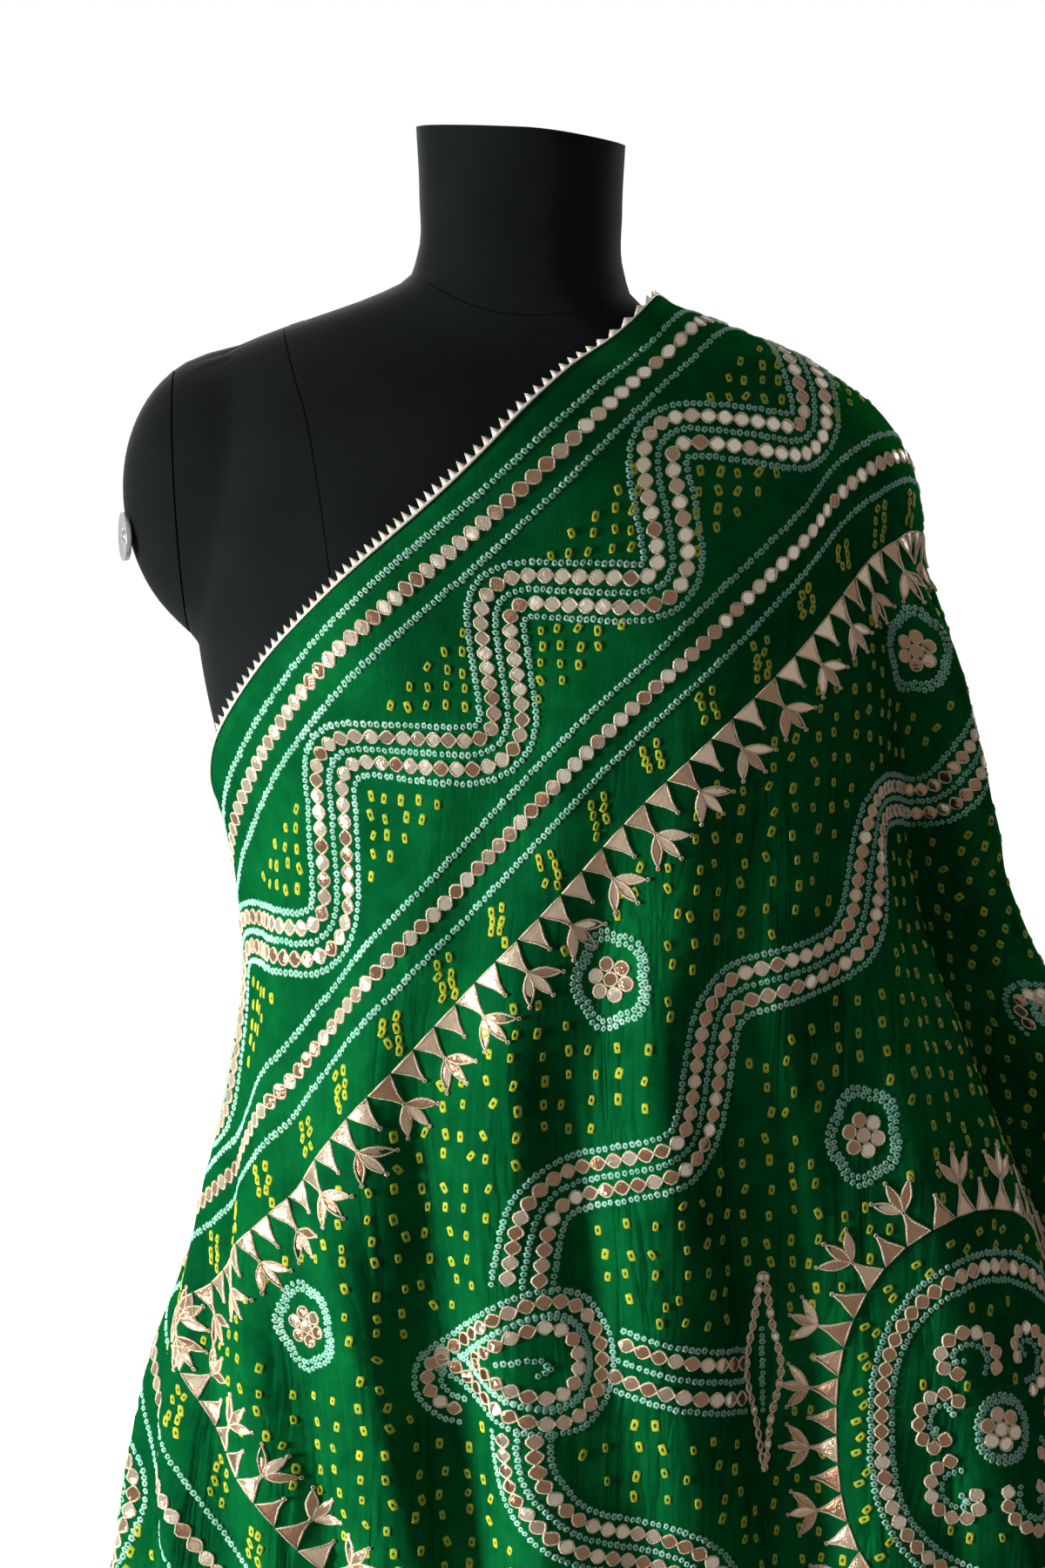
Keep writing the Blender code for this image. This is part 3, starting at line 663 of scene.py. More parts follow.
# yellow dots: clusters in the zigzag's triangles, and small bunches between the inner chain and the triangles
bunch = {"every": 0.038, "first": 0.012, "from": 0.166, "rows": 2, "each": (4, 3),
         "rowStep": (0.0058, 0.0022), "dotStep": (-0.0034, 0.0046)}
dot = {"scatter": 0.0008, "sizes": (0.85, 1.1)}


def layClusters():
    step, away = border["clusterStep"] * math.sqrt(0.5), border["clusterAway"]
    for outs, ins, alongLength in ((turnsOut, turnsIn[1:], True), (turnsOutEnd, turnsInEnd[1:], False)):
        for places, start, way in ((outs, border["zigzagOut"] + away, 1.0),
                                   (ins, border["zigzagIn"] - away, -1.0)):
            for place in places:
                for i in range(border["clusterRows"]):
                    for j in range(border["clusterRows"] - i):
                        addDot(place + step * (i - j), start + way * step * (i + j), alongLength)


def layBunches():
    for half, alongLength in ((0.5 * cloth["length"], True), (0.5 * cloth["width"], False)):
        low = border["triangles"] * (border["endStretch"] if alongLength else 1.0)
        for place in np.arange(half, low, -bunch["every"]) - bunch["first"]:
            for i in range(bunch["rows"]):
                for j in range(bunch["each"][0 if dice.uniform() < 0.5 else 1]):
                    along, away = np.multiply(i, bunch["rowStep"]) + np.multiply(j, bunch["dotStep"])
                    addDot(place + along, bunch["from"] + away, alongLength)


def addDot(s, w, alongLength):
    # one yellow dot at w from the edge, in all four quarters
    spot = (s, w) if alongLength else (w * border["endStretch"], s)
    onMiddle = abs(s - 0.5 * (cloth["length"] if alongLength else cloth["width"])) < 1e-6
    for ways in quarters:
        if not (onMiddle and ways[0 if alongLength else 1] < 0):
            place = mirrored([spot], ways) + dice.normal(0, dot["scatter"], 2)
            turn = work["slant"] * ways[0] * ways[1] + dice.normal(0, work["turned"])
            addMarks("yellow", place, turn, dice.uniform(*dot["sizes"]))


layClusters()
layBunches()


def triangleLine(path, inward, copies=asDrawn):
    # foil triangles with a sprig on every second one; inward: 1.0 where they point to the path's left
    for ways in copies:
        points, _, step = spaced(mirrored(path, ways), border["trianglePitch"], True)
        after = np.roll(points, -1, axis=0)
        middles = 0.5 * (points + after)
        turns = heading(after - points) + inward * ways[0] * ways[1] * math.pi / 2
        addMarks("triangle", middles, turns, step / border["trianglePitch"])
        tips = middles + border["triangleTip"] * pointing(turns)
        addMarks("leaf", np.repeat(tips[::2], len(border["splay"]), axis=0),
                 (turns[::2, None] + np.radians(border["splay"])).ravel())


triangleLine(framePath(border["triangles"]), 1.0)
print("border laid")

# the panel: paisleys, stems, waves, flowers, medallions
paisley = {
    "length": 0.090, "half": 0.046, "sharp": 1.5, "inner": (0.62, 0.58, 0.022), "corner": 0.002,
    "mintOutside": 1.0, "mintInside": 0.85, "mintInner": 0.8,
    "eye": [(0.040, 0.0), (0.058, 0.002), (0.064, -0.003), (0.058, -0.007)],
    "hook": [(0.0, 0.0), (-0.004, -0.010), (-0.003, -0.019), (0.004, -0.0275), (0.0125, -0.030)],
    "hookMintFrom": 12,
}


def dropPath(length, half):
    angle = np.linspace(0.0, 2 * math.pi, samples["drop"], endpoint=False)
    return np.column_stack([0.5 * length * (1.0 - np.cos(angle)),
                            half * np.sin(angle) * np.abs(np.sin(0.5 * angle))**paisley["sharp"]])


def placed(local, tip, turn):
    local = np.asarray(local, dtype=float)
    return np.array(tip) + local[:, :1] * pointing(turn) + local[:, 1:] * pointing(turn - math.pi / 2)


def layPaisley(tip, turn, size=1.0):
    longer, wider, shift = paisley["inner"]
    length, half, away = paisley["length"] * size, paisley["half"] * size, work["mintFromMirrors"]
    outer = dropPath(length, half)
    inner = dropPath(length * longer, half * wider) + [shift * size, 0.0]
    hook = throughPoints(np.array(paisley["hook"]) * size)
    for path in (outer, inner):
        mirrorChain(placed(path, tip, turn), True, quarters)
    for path, distance in ((outer, away * paisley["mintOutside"]), (outer, -away * paisley["mintInside"]),
                           (inner, -away * paisley["mintInner"])):
        row = softened(beside(path, distance, True), paisley["corner"], True)
        mintRow(placed(row, tip, turn), True, quarters)
    mintRow(placed(np.array(paisley["eye"]) * [size, 1.0], tip, turn), False, quarters)
    mirrorChain(placed(hook, tip, turn), False, quarters)
    for row in (beside(hook, away), beside(hook[paisley["hookMintFrom"]:], -away)):
        mintRow(placed(row, tip, turn), False, quarters)


def doubleChain(path, apart=work["chainsApart"]):
    for side in (-1.0, 1.0):
        mirrorChain(beside(path, side * apart), False, quarters)
    for side in (-1.0, 0.0, 1.0):
        mintRow(beside(path, side * (apart + work["mintFromMirrors"])), False, quarters)


stem = {"through": [(0.4325, 0.3715), (0.441, 0.3905), (0.4525, 0.4105), (0.4705, 0.436)], "apart": 0.009}
waveBand = {"from": 0.4315, "to": 0.950, "crest": 0.472, "long": 0.13657, "middle": 0.3075, "swing": 0.0150,
            "sharp": 0.12}
endBand = {"from": 0.405, "to": 0.550, "crest": 0.410, "long": 0.14, "middle": 0.3660, "swing": 0.0145,
           "start": [(0.3735, 0.3640), (0.3640, 0.3730), (0.3550, 0.3860)], "corner": 0.005}


def waveBandPath():
    u = np.linspace(waveBand["from"], waveBand["to"], samples["wave"])
    swing = np.cos(2 * math.pi * (u - waveBand["crest"]) / waveBand["long"])
    swing = waveBand["swing"] * (swing + waveBand["sharp"] * swing**3)
    return np.column_stack([u, waveBand["middle"] - swing])


def endBandPath():
    v = np.linspace(endBand["from"], endBand["to"], samples["endWave"])
    swing = np.cos(2 * math.pi * (v - endBand["crest"]) / endBand["long"])
    turn = np.column_stack([endBand["middle"] - endBand["swing"] * swing, v])
    return softened(np.vstack([endBand["start"], turn]), endBand["corner"])


layPaisley((0.366, 0.303), math.radians(46.0))
doubleChain(throughPoints(stem["through"]), stem["apart"])
doubleChain(waveBandPath())
doubleChain(endBandPath())

lozenge = {"centre": (0.481, 0.441), "long": 0.053, "wide": 0.0108, "hollow": 0.45, "each": 6,
           "pitch": 0.0066, "slim": 0.62, "mint": 0.022}


def layLozenge():
    long, wide = lozenge["long"], lozenge["wide"]
    ends, low = long * 0.5, wide * lozenge["hollow"]
    outline = throughPoints([(-long, 0), (-ends, low), (0, wide), (ends, low),
                             (long, 0), (ends, -low), (0, -wide), (-ends, -low)], True, lozenge["each"])
    mirrorChain(placed(outline, lozenge["centre"], work["slant"]), True, quarters, lozenge["pitch"],
                lozenge["slim"])
    middle = [(-lozenge["mint"], 0.0), (lozenge["mint"], 0.0)]
    mintRow(placed(middle, lozenge["centre"], work["slant"]), False, quarters)


layLozenge()

flower = {"petals": 6, "away": 0.0081, "cloud": (0.0245, 0.0190), "lobes": (0.90, 0.14, 2.5, 0.6),
          "clouds": (1.0, 0.85),
          "places": ((0.331, 0.242), (0.576, 0.236), (0.840, 0.240), (0.285, 0.430), (0.607, 0.396))}


def mirrorFlower(centre, copies, cloud=True):
    base, deep, often, shift = flower["lobes"]
    angle = np.linspace(0, 2 * math.pi, samples["petals"], endpoint=False)
    lobes = base + deep * np.abs(np.cos(often * angle + shift))[:, None]
    petals = np.arange(flower["petals"]) * 2 * math.pi / flower["petals"]
    for ways in copies:
        middle = mirrored([centre], ways)
        spots = np.vstack([middle, middle + flower["away"] * pointing(petals)])
        for kind in ("mirror", "eyelet"):
            addMarks(kind, spots, 0.0)
        if cloud:
            ring = placed(pointing(angle) * flower["cloud"] * lobes, (0.0, 0.0),
                          work["slant"] * ways[0] * ways[1])
            for size in flower["clouds"]:
                mintRow(middle + size * ring, True)


for place in flower["places"]:
    mirrorFlower(place, quarters)

medallion = {
    "centre": (0.548, 0.552), "triangles": 0.112, "chain": 0.083, "heart": (0.0175, 0.0150),
    "pinch": 0.25, "pinchAt": math.radians(225.0), "pinchReach": math.radians(50.0),
    "dots": ((0.094, 26), (0.101, 30)), "dotScatter": 0.0012, "dotTurn": 0.5,
    "hooks": 6, "hooksFrom": math.radians(46.0), "hookPitch": 0.0076, "hookMint": 0.0060,
    "hook": [(0.027, -0.0115), (0.0345, -0.0175), (0.0460, -0.0175), (0.0555, -0.0100), (0.0570, 0.0010),
             (0.0505, 0.0095), (0.0410, 0.0090), (0.0375, 0.0020)],
}


def pinched(angle):
    # the ring is a little flat on one side
    apart = np.angle(np.exp(1j * (angle - medallion["pinchAt"])))
    return 1.0 - medallion["pinch"] * np.exp(-(apart / medallion["pinchReach"])**2)


def ringPath(radius, count=samples["ring"]):
    angle = np.linspace(0, 2 * math.pi, count, endpoint=False)
    return np.array(medallion["centre"]) + (radius * pinched(angle))[:, None] * pointing(angle)


def layMedallion():
    centre = medallion["centre"]
    triangleLine(ringPath(medallion["triangles"]), -1.0, halves)
    mirrorChain(ringPath(medallion["chain"]), True, halves)
    for away in (work["mintFromMirrors"], -work["mintFromMirrors"]):
        mintRow(ringPath(medallion["chain"] + away), True, halves)
    for radius, count in medallion["dots"]:
        for ways in halves:
            spots = mirrored(ringPath(radius, count), ways)
            spots += dice.normal(0, medallion["dotScatter"], (count, 2))
            addMarks("yellow", spots, dice.uniform(-medallion["dotTurn"], medallion["dotTurn"]))
    for number in range(medallion["hooks"]):
        turn = medallion["hooksFrom"] + 2 * math.pi * number / medallion["hooks"]
        curl = placed(throughPoints(medallion["hook"]) * [pinched(turn), 1.0], centre, turn)
        mirrorChain(curl, False, halves, medallion["hookPitch"])
        mintRow(beside(curl, medallion["hookMint"]), False, halves)
    mirrorFlower(centre, halves, False)
    for radius in medallion["heart"]:
        mintRow(ringPath(radius, samples["heart"]), True, halves)


layMedallion()
layPaisley((0.812, 0.442), math.radians(60.0), 0.75)
print("panel laid")

field = {"cell": 0.004, "clear": 2, "from": 0.022, "row": 0.0093, "scatter": 0.0017, "sizes": (0.85, 1.15)}


def layField():
    # yellow dots over the rest of the panel, kept off what lies there already
    cell, row = field["cell"], field["row"]
    size = [int(cloth[side] / cell) + 1 for side in ("length", "width")]
    taken = np.zeros(size, bool)
    for kind in ("mint", "mirror", "triangle", "leaf", "yellow"):
        spots = (np.vstack(marks[kind])[:, :2] / cell).astype(int)
        taken[tuple(np.clip(spots, 0, np.array(size) - 1).T)] = True
    for _ in range(field["clear"]):
        grown = taken.copy()
        grown[1:] |= taken[:-1]
        grown[:-1] |= taken[1:]
        grown[:, 1:] |= taken[:, :-1]
        grown[:, :-1] |= taken[:, 1:]
        taken = grown
    low = border["triangles"] + field["from"]
    lowEnd = border["triangles"] * border["endStretch"] + field["from"]
    spots = []
    for number, v in enumerate(np.arange(low, cloth["width"] - low, row)):
        for u in np.arange(lowEnd + (number % 2) * row, cloth["length"] - lowEnd, 2 * row):
            spot = np.array([u, v]) + dice.normal(0, field["scatter"], 2)
            if not taken[int(spot[0] / cell), int(spot[1] / cell)]:
                spots.append(spot)
    addMarks("yellow", np.array(spots), dice.normal(work["slant"], work["turned"], len(spots)),
             dice.uniform(*field["sizes"], len(spots)))


layField()

# everything is stamped on the hung cloth
mirrorShape = ringShape(work["mirrorRadius"] * work["mirrorParts"], work["mirrorHeights"], 8, capped=True)
mintShape = ringShape(work["mintRadius"] * work["rimParts"], work["rimHeights"], 5, work["rimTints"],
                      work["mintStretch"])
yellowShape = ringShape(work["yellowRadius"] * work["rimParts"], work["rimHeights"], 8, work["rimTints"],
                        work["yellowStretch"], work["yellowSquare"])
eyeletShape = ringShape(work["eyeletRadii"], work["eyeletHeights"], 10)
knotShape = ringShape(work["knotRadii"], work["knotHeights"], 6)
# half outlines of the foil shapes: how far out, and how far to the side
leafSide = [(0.0025, 0.0010), (0.0058, 0.0021), (0.0090, 0.0025), (0.0122, 0.0019), (0.0150, 0.0009)]
triangleSide = [(0.0, 0.0070), (0.0045, 0.0044), (0.0090, 0.0019), (0.0125, 0.0008), (0.0142, 0.0003)]

def bothSides(side, start, tip=()):
    return [start, *((out, -across) for out, across in side), *tip, *side[::-1]]


foils = {                                        # outline, the most it leans, how far out the tip's knot lies
    "triangle": (bothSides(triangleSide, (0.0, 0.0)), 0.05, 0.0150),
    "leaf": (bothSides(leafSide, (0.0005, 0.0), [(0.0168, 0.0)]), 0.06, 0.0177),
}
uneven = {"mintSizes": (0.88, 1.12), "mintScatter": 0.00022, "mintTint": 0.15, "yellowTint": 0.2}


def rosierAndShaded(rows, shade):
    # the foil on the panel is drawn rosier and darker than the border's; the darkening is painted shade
    low, away = border["panelFrom"], border["panelFrom"] * border["endStretch"]
    inPanel = ((rows[:, 1] > low) & (rows[:, 1] < cloth["width"] - low)
               & (rows[:, 0] > away) & (rows[:, 0] < cloth["length"] - away))
    return shade - border["panelRoseAndShade"] * inPanel


def stampAll(laid):
    mint, yellow, mirrors = laid["mint"], laid["yellow"], laid["mirror"]
    mint[:, 2] += dice.normal(0, work["turned"], len(mint))
    mint[:, 3] *= dice.uniform(*uneven["mintSizes"], len(mint))
    mint[:, :2] += dice.normal(0, uneven["mintScatter"], (len(mint), 2))
    shade = dice.uniform(-uneven["mintTint"], uneven["mintTint"], len(mint))
    stamp("dye_mint", mintShape, mint, shade, parts=4)
    shade = dice.uniform(-uneven["yellowTint"], uneven["yellowTint"], len(yellow))
    stamp("dye_yellow", yellowShape, yellow, shade)
    # mirrors on the panel get painted shade through a lower tint
    shade = rosierAndShaded(mirrors, dice.uniform(0, 1, len(mirrors)))
    stamp("mirrors", mirrorShape, mirrors, shade, tilt=work["mirrorTilt"])
    stamp("braid_small", eyeletShape, laid["eyelet"], parts=1)
    for kind, (outline, tilt, _) in foils.items():
        rows = laid[kind]
        foilShape, braidShape = foilAndBraid(outline)
        # foil shapes on the panel get painted shade through a lower tint
        shade = rosierAndShaded(rows, dice.uniform(0, 1, len(rows)))
        stamp("foil_shapes", foilShape, rows, shade, parts=1, tilt=tilt)
        stamp("braid_small", braidShape, rows, parts=1)
    for kind in ("leaf", "triangle"):
        tips = laid[kind].copy()
        tips[:, :2] += foils[kind][2] * pointing(tips[:, 2])
        stamp("braid_small", knotShape, tips, parts=1)


laid = {kind: np.vstack(rows) for kind, rows in marks.items()}
stampAll(laid)


def layBraid(path):
    across = sideways(unit(np.gradient(path, axis=0)))
    half = 0.5 * work["braidWide"]
    points = np.vstack([onCloth(*(path + across * offset).T, height) for offset, height in
                        ((half, work["edge"]), (0.0, work["braidHigh"]), (-half, work["edge"]))])
    name = "braid_back" if path[:, 0].mean() > 0.5 * cloth["length"] else "braid_front"
    toTray(name, points, halved(between(len(path), 3)), np.zeros(len(points)))


for path in braids:
    # long braids are cut at the cloth's middle, so that each piece stays a fair size
    side = path[:, 0] > 0.5 * cloth["length"]
    cuts = [0, *(np.flatnonzero(side[1:] != side[:-1]) + 1), len(path)]
    for start, end in zip(cuts, cuts[1:]):
        run = path[max(start - 1, 0):end]
        if len(run) > 1:
            layBraid(run)
print({kind: len(rows) for kind, rows in laid.items()})

# the pointed edging: a narrow band with a row of points
lace = {"pitch": 0.0057, "base": 0.0056, "tall": 0.0047, "thick": 0.0007, "ridge": 0.3,
        "band": 0.0009, "bandOut": 0.4, "bandStep": 0.004, "bandHeights": (0.0003, 0.0009, 0.0009, -0.0004)}


def layLace():
    half, tall, thick, low = 0.5 * lace["base"], lace["tall"], lace["thick"], work["edge"]
    point = {"points": np.array([(0.0, -half, low), (0.0, half, low), (tall, 0.0, low),
                                 (lace["ridge"] * tall, 0.0, thick), (0.0, 0.0, thick)]),
             "corners": np.array([(0, 2, 3), (2, 1, 3), (1, 4, 3), (4, 0, 3), (0, 1, 2)]),
             "tint": np.zeros(5)}
    length, width = cloth["length"], cloth["width"]
    edges = {
        "upper": ((0, 0), (length, 0), -math.pi / 2),
        "lower": ((0, width), (length, width), math.pi / 2),
        "front_end": ((0, 0), (0, width), math.pi),
        "back_end": ((length, 0), (length, width), 0.0),
    }
    for name, (start, end, turn) in edges.items():
        points, _, _ = spaced([start, end], lace["pitch"])
        middles = 0.5 * (points[:-1] + points[1:])
        rows = np.column_stack([middles, np.full(len(middles), turn), np.ones(len(middles))])
        stamp("lace_" + name, point, rows, dice.uniform(0, 1, len(rows)), parts=1)
        fine, _, _ = spaced([start, end], lace["bandStep"])
        inner, outer = (fine + lace["band"] * way * pointing(turn) for way in (-1.0, lace["bandOut"]))
        band = np.vstack([onCloth(*line.T, height) for line, height in
                          zip((inner, inner, outer, outer), lace["bandHeights"])])
        toTray("lace_" + name, band, halved(between(len(fine), 4)), np.full(len(band), 0.5))


layLace()


def shaderOf(tree):
    return tree.nodes["Principled BSDF"]


def newMaterial(name, colour, roughness, metallic=0.0, **sockets):
    material = bpy.data.materials.new(name)
    material.use_nodes = True
    sockets.update({"Base Color": (*colour, 1.0), "Roughness": roughness, "Metallic": metallic})
    for socket, value in sockets.items():
        shaderOf(material.node_tree).inputs[socket.replace("_", " ")].default_value = value
    return material, material.node_tree


def wire(tree, socket, source):
    tree.links.new(source, shaderOf(tree).inputs[socket])


def addNode(tree, kind, inputs=None, **settings):
    node = tree.nodes.new("ShaderNode" + kind)
    for key, value in settings.items():
        setattr(node, key, value)
    for key, value in (inputs or {}).items():
        if isinstance(value, bpy.types.NodeSocket):
            tree.links.new(value, node.inputs[key])
        else:
            node.inputs[key].default_value = value
    return node


def maths(tree, operation, a, b=0.5):
    return addNode(tree, "Math", {0: a, 1: b}, operation=operation).outputs[0]


def placeOf(tree):
    return addNode(tree, "TexCoord").outputs["Object"]


def tintOf(tree):
    return addNode(tree, "Attribute", attribute_name="tint").outputs["Fac"]


def noise(tree, place, scale, detail=2.0, roughness=0.5, distortion=0.0, output="Fac"):
    inputs = {"Vector": place, "Scale": scale, "Detail": detail, "Roughness": roughness,
              "Distortion": distortion}
    return addNode(tree, "TexNoise", inputs).outputs[output]


def blend(tree, source, low, high, stops=(0.35, 0.65)):
    ramp = addNode(tree, "ValToRGB", {"Fac": source})
    for element, position, colour in zip(ramp.color_ramp.elements, stops, (low, high)):
        element.position = position
        element.color = (*colour, 1.0)
    return ramp.outputs["Color"]


def mixed(tree, factor, a, b, kind="MIX"):
    a, b = (value if isinstance(value, bpy.types.NodeSocket) else (*value, 1.0) for value in (a, b))
    return addNode(tree, "Mix", {0: factor, 6: a, 7: b}, data_type="RGBA", blend_type=kind).outputs[2]


def bumped(tree, height, strength, distance, under=None):
    inputs = {"Height": height, "Strength": strength, "Distance": distance}
    if under:
        inputs["Normal"] = under
    return addNode(tree, "Bump", inputs).outputs["Normal"]


def silkMaterial():
    material, tree = newMaterial("silk", (0.001, 0.12, 0.018), 0.36, 0.05, Specular_IOR_Level=0.0,
                                 Specular_Tint=(0.02, 0.75, 0.25, 1.0))
    flat = addNode(tree, "UVMap", uv_map="flat").outputs["UV"]
    cloud, blotch = noise(tree, flat, 14.0, 4.0, 0.6), noise(tree, flat, 90.0, 3.0, 0.6)
    deep = blend(tree, cloud, (0.0012, 0.074, 0.021), (0.0030, 0.150, 0.034), (0.30, 0.70))
    fine = blend(tree, blotch, (0.78, 0.80, 0.80), (1.0, 1.0, 1.0))
    wire(tree, "Base Color", mixed(tree, 1.0, deep, fine, "MULTIPLY"))
    weave = addNode(tree, "TexWave", {"Vector": flat, "Scale": 900.0, "Distortion": 5.0, "Detail": 2.0},
                    wave_type="BANDS", bands_direction="DIAGONAL").outputs["Color"]
    crush = noise(tree, flat, 60.0, 5.0, 0.6, output="Color")
    # long fine creases that run down the panel, fainter over the upper edge's border
    down = addNode(tree, "Mapping", {"Vector": flat, "Rotation": (0.0, 0.0, math.radians(136.0)),
                                     "Scale": (1 / 7, 1 / 42, 1.0)}, vector_type="TEXTURE").outputs["Vector"]
    valley = maths(tree, "ABSOLUTE", maths(tree, "SUBTRACT", noise(tree, down, 1.0, 3.0, 0.55, 0.5)))
    across = addNode(tree, "SeparateXYZ", {"Vector": flat}).outputs["Y"]
    onPanel = addNode(tree, "MapRange", {"Value": across, "From Min": 0.13, "From Max": 0.25, "To Min": 0.15})
    pressed = maths(tree, "MULTIPLY", valley, onPanel.outputs["Result"])
    creased = bumped(tree, pressed, 1.0, 0.009)
    wire(tree, "Normal", bumped(tree, mixed(tree, 0.75, weave, crush), 0.40, 0.0012, creased))
    return material


def dyeMaterial(name, edge, crest, other):
    # tint: 0 at the soft edge of a dot, 1 on its crest
    material, tree = newMaterial(name, crest, 0.6, Sheen_Weight=0.1, Specular_IOR_Level=0.1)
    place = placeOf(tree)
    crestColour = blend(tree, noise(tree, place, 45.0), crest, other)
    factor = addNode(tree, "MapRange", {"Value": tintOf(tree), "From Min": 0.1, "From Max": 0.75}, clamp=True)
    wire(tree, "Base Color", mixed(tree, factor.outputs["Result"], edge, crestColour))
    wire(tree, "Normal", bumped(tree, noise(tree, place, 1400.0), 0.3, 0.0003))
    return material


def foilMaterial(name, silver, rose, roughness, metallic, scale):
    # tint: one number for each mirror or foil, so that no two catch the light alike
    material, tree = newMaterial(name, silver, roughness, metallic, Specular_IOR_Level=0.2)
    wire(tree, "Base Color", blend(tree, tintOf(tree), rose, silver, (0.15, 0.75)))
    wire(tree, "Normal", bumped(tree, noise(tree, placeOf(tree), scale, 3.0, 0.6), 0.5, 0.0012))
    return material


def braidMaterial():
    material, tree = newMaterial("rose_gold_braid", (0.80, 0.62, 0.46), 0.5, 0.10, Specular_IOR_Level=0.15)
    place = placeOf(tree)
    patch = noise(tree, place, 30.0, 3.0)
    wire(tree, "Base Color", blend(tree, patch, (0.66, 0.50, 0.34), (0.86, 0.70, 0.51)))
    twist = addNode(tree, "TexVoronoi", {"Vector": place, "Scale": 1100.0}).outputs["Distance"]
    wire(tree, "Normal", bumped(tree, twist, 0.8, 0.0005))
    return material


def coverMaterial():
    material, tree = newMaterial("black_knit_cover", (0.004, 0.005, 0.005), 0.75, Sheen_Weight=0.05,
                                 Sheen_Roughness=0.5, Specular_IOR_Level=0.03)
    place = placeOf(tree)
    cloud = noise(tree, place, 18.0, 4.0)
    wire(tree, "Base Color", blend(tree, cloud, (0.0044, 0.0058, 0.0060), (0.0072, 0.0090, 0.0092)))
    knit = addNode(tree, "TexWave", {"Vector": place, "Scale": 260.0, "Distortion": 1.0}, bands_direction="Z")
    height = mixed(tree, 0.5, knit.outputs["Color"], noise(tree, place, 900.0, output="Color"))
    wire(tree, "Normal", bumped(tree, height, 0.25, 0.0005))
    return material


def seamMaterial():
    # the seams' near-black colour is painted shade: the shadow line that runs along each seam
    material, tree = newMaterial("seam_shadow", (0.0012, 0.0014, 0.0014), 0.9, Specular_IOR_Level=0.05)
    stitch = noise(tree, placeOf(tree), 350.0)
    dark, pale = (0.0008, 0.0010, 0.0010), (0.0030, 0.0034, 0.0034)
    wire(tree, "Base Color", blend(tree, stitch, dark, pale, (0.40, 0.65)))
    wire(tree, "Normal", bumped(tree, stitch, 0.3, 0.0004))
    return material


def metalMaterial(name, colour, roughness, metallic, scale, stretch, shine):
    material, tree = newMaterial(name, colour, roughness, metallic, Specular_IOR_Level=shine)
    along = addNode(tree, "Mapping", {"Vector": placeOf(tree), "Scale": stretch}).outputs["Vector"]
    grain = noise(tree, along, scale, 4.0)
    wire(tree, "Base Color", blend(tree, grain, [0.8 * value for value in colour], colour))
    wire(tree, "Normal", bumped(tree, grain, 0.15, 0.0004))
    return material


silk = silkMaterial()
finishes = {
    "dye_mint": dyeMaterial("mint_dye", (0.002, 0.11, 0.035), (0.46, 0.80, 0.62), (0.28, 0.64, 0.47)),
    "dye_yellow": dyeMaterial("yellow_dye", (0.004, 0.11, 0.018), (0.62, 0.60, 0.035), (0.40, 0.50, 0.03)),
    "mirrors": foilMaterial("mirror_foil", (0.52, 0.475, 0.375), (0.20, 0.108, 0.058), 0.15, 0.66, 260.0),
    "foil_shapes": foilMaterial("gota_foil", (0.48, 0.37, 0.26), (0.23, 0.128, 0.072), 0.24, 0.62, 420.0),
    "braid": braidMaterial(),
    "lace": foilMaterial("lace_foil", (0.90, 0.84, 0.74), (0.76, 0.66, 0.54), 0.45, 0.2, 300.0),
}
cover = coverMaterial()
seamShadowPaint = seamMaterial()
steel = metalMaterial("turned_steel", (0.38, 0.38, 0.38), 0.28, 0.75, 900.0, (1.0, 1.0, 0.1), 0.4)
paint = metalMaterial("black_powder_coat", (0.014, 0.014, 0.015), 0.42, 0.0, 1200.0, (1.0, 1.0, 1.0), 0.15)


def kept(piece, material, node=None):
    piece.data.materials.append(material)
    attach(piece, "root")
    if node:
        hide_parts(node)


def clothPiece():
    spare = cloth["spare"]
    points = grid["points"][spare:-spare, spare:-spare]
    columns, rows = points.shape[:2]
    corners = between(rows, columns)
    if grid["sign"] >= 0.0:
        corners = corners[:, [0, 3, 2, 1]]
    u, v = np.meshgrid(grid["u"][spare:-spare], grid["v"][spare:-spare], indexing="ij")
    flat = np.column_stack([u.ravel(), v.ravel()])
    piece = meshObject("silk_cloth", points.reshape(-1, 3), corners, uv=flat)
    shell = piece.modifiers.new("thickness", "SOLIDIFY")
    shell.thickness = cloth["thick"]
    shell.offset = 0.0
    kept(piece, silk, "cloth")
    return piece


def sewnPiece(name, tray):
    corners = np.vstack(tray["corners"])
    if grid["sign"] < 0.0:
        corners = corners[:, ::-1]
    piece = meshObject(name, np.vstack(tray["points"]), corners, np.concatenate(tray["tint"]))
    kind = name.split("_front")[0].split("_back")[0]
    if name.startswith("lace"):
        kept(piece, finishes["lace"], name.replace("lace_", "edging_"))
    elif kind.startswith("braid"):
        kept(piece, finishes["braid"])
    else:
        kept(piece, finishes[kind])
    print(name, len(corners), "triangles")
    return piece


silkCloth = clothPiece()
sewnOn = [sewnPiece(name, tray) for name, tray in trays.items()]

# the form: a padded body, its two arm stubs, seams and the plate
formMesh = {
    "around": 192, "neckTop": 1.599, "hipLow": 0.870, "step": 0.005,
    "crown": (0.97, 0.7, 0.35), "crownRise": 0.0004,
    "blend": 0.016, "merges": 0.6,               # how softly and from where an arm stub grows out of the body
    "armSeam": 0.180, "armSeamTilt": 0.05, "armSeamZ": 1.44, "armGap": 0.0005,
    "seamWide": 0.0009, "seamHigh": 0.0002, "seamLow": -0.0004,
    "smooth": math.radians(50.0),
}
armMiddles = {-1.0: (0.152, 0.004, 1.405), 1.0: formShape["armCentre"]}


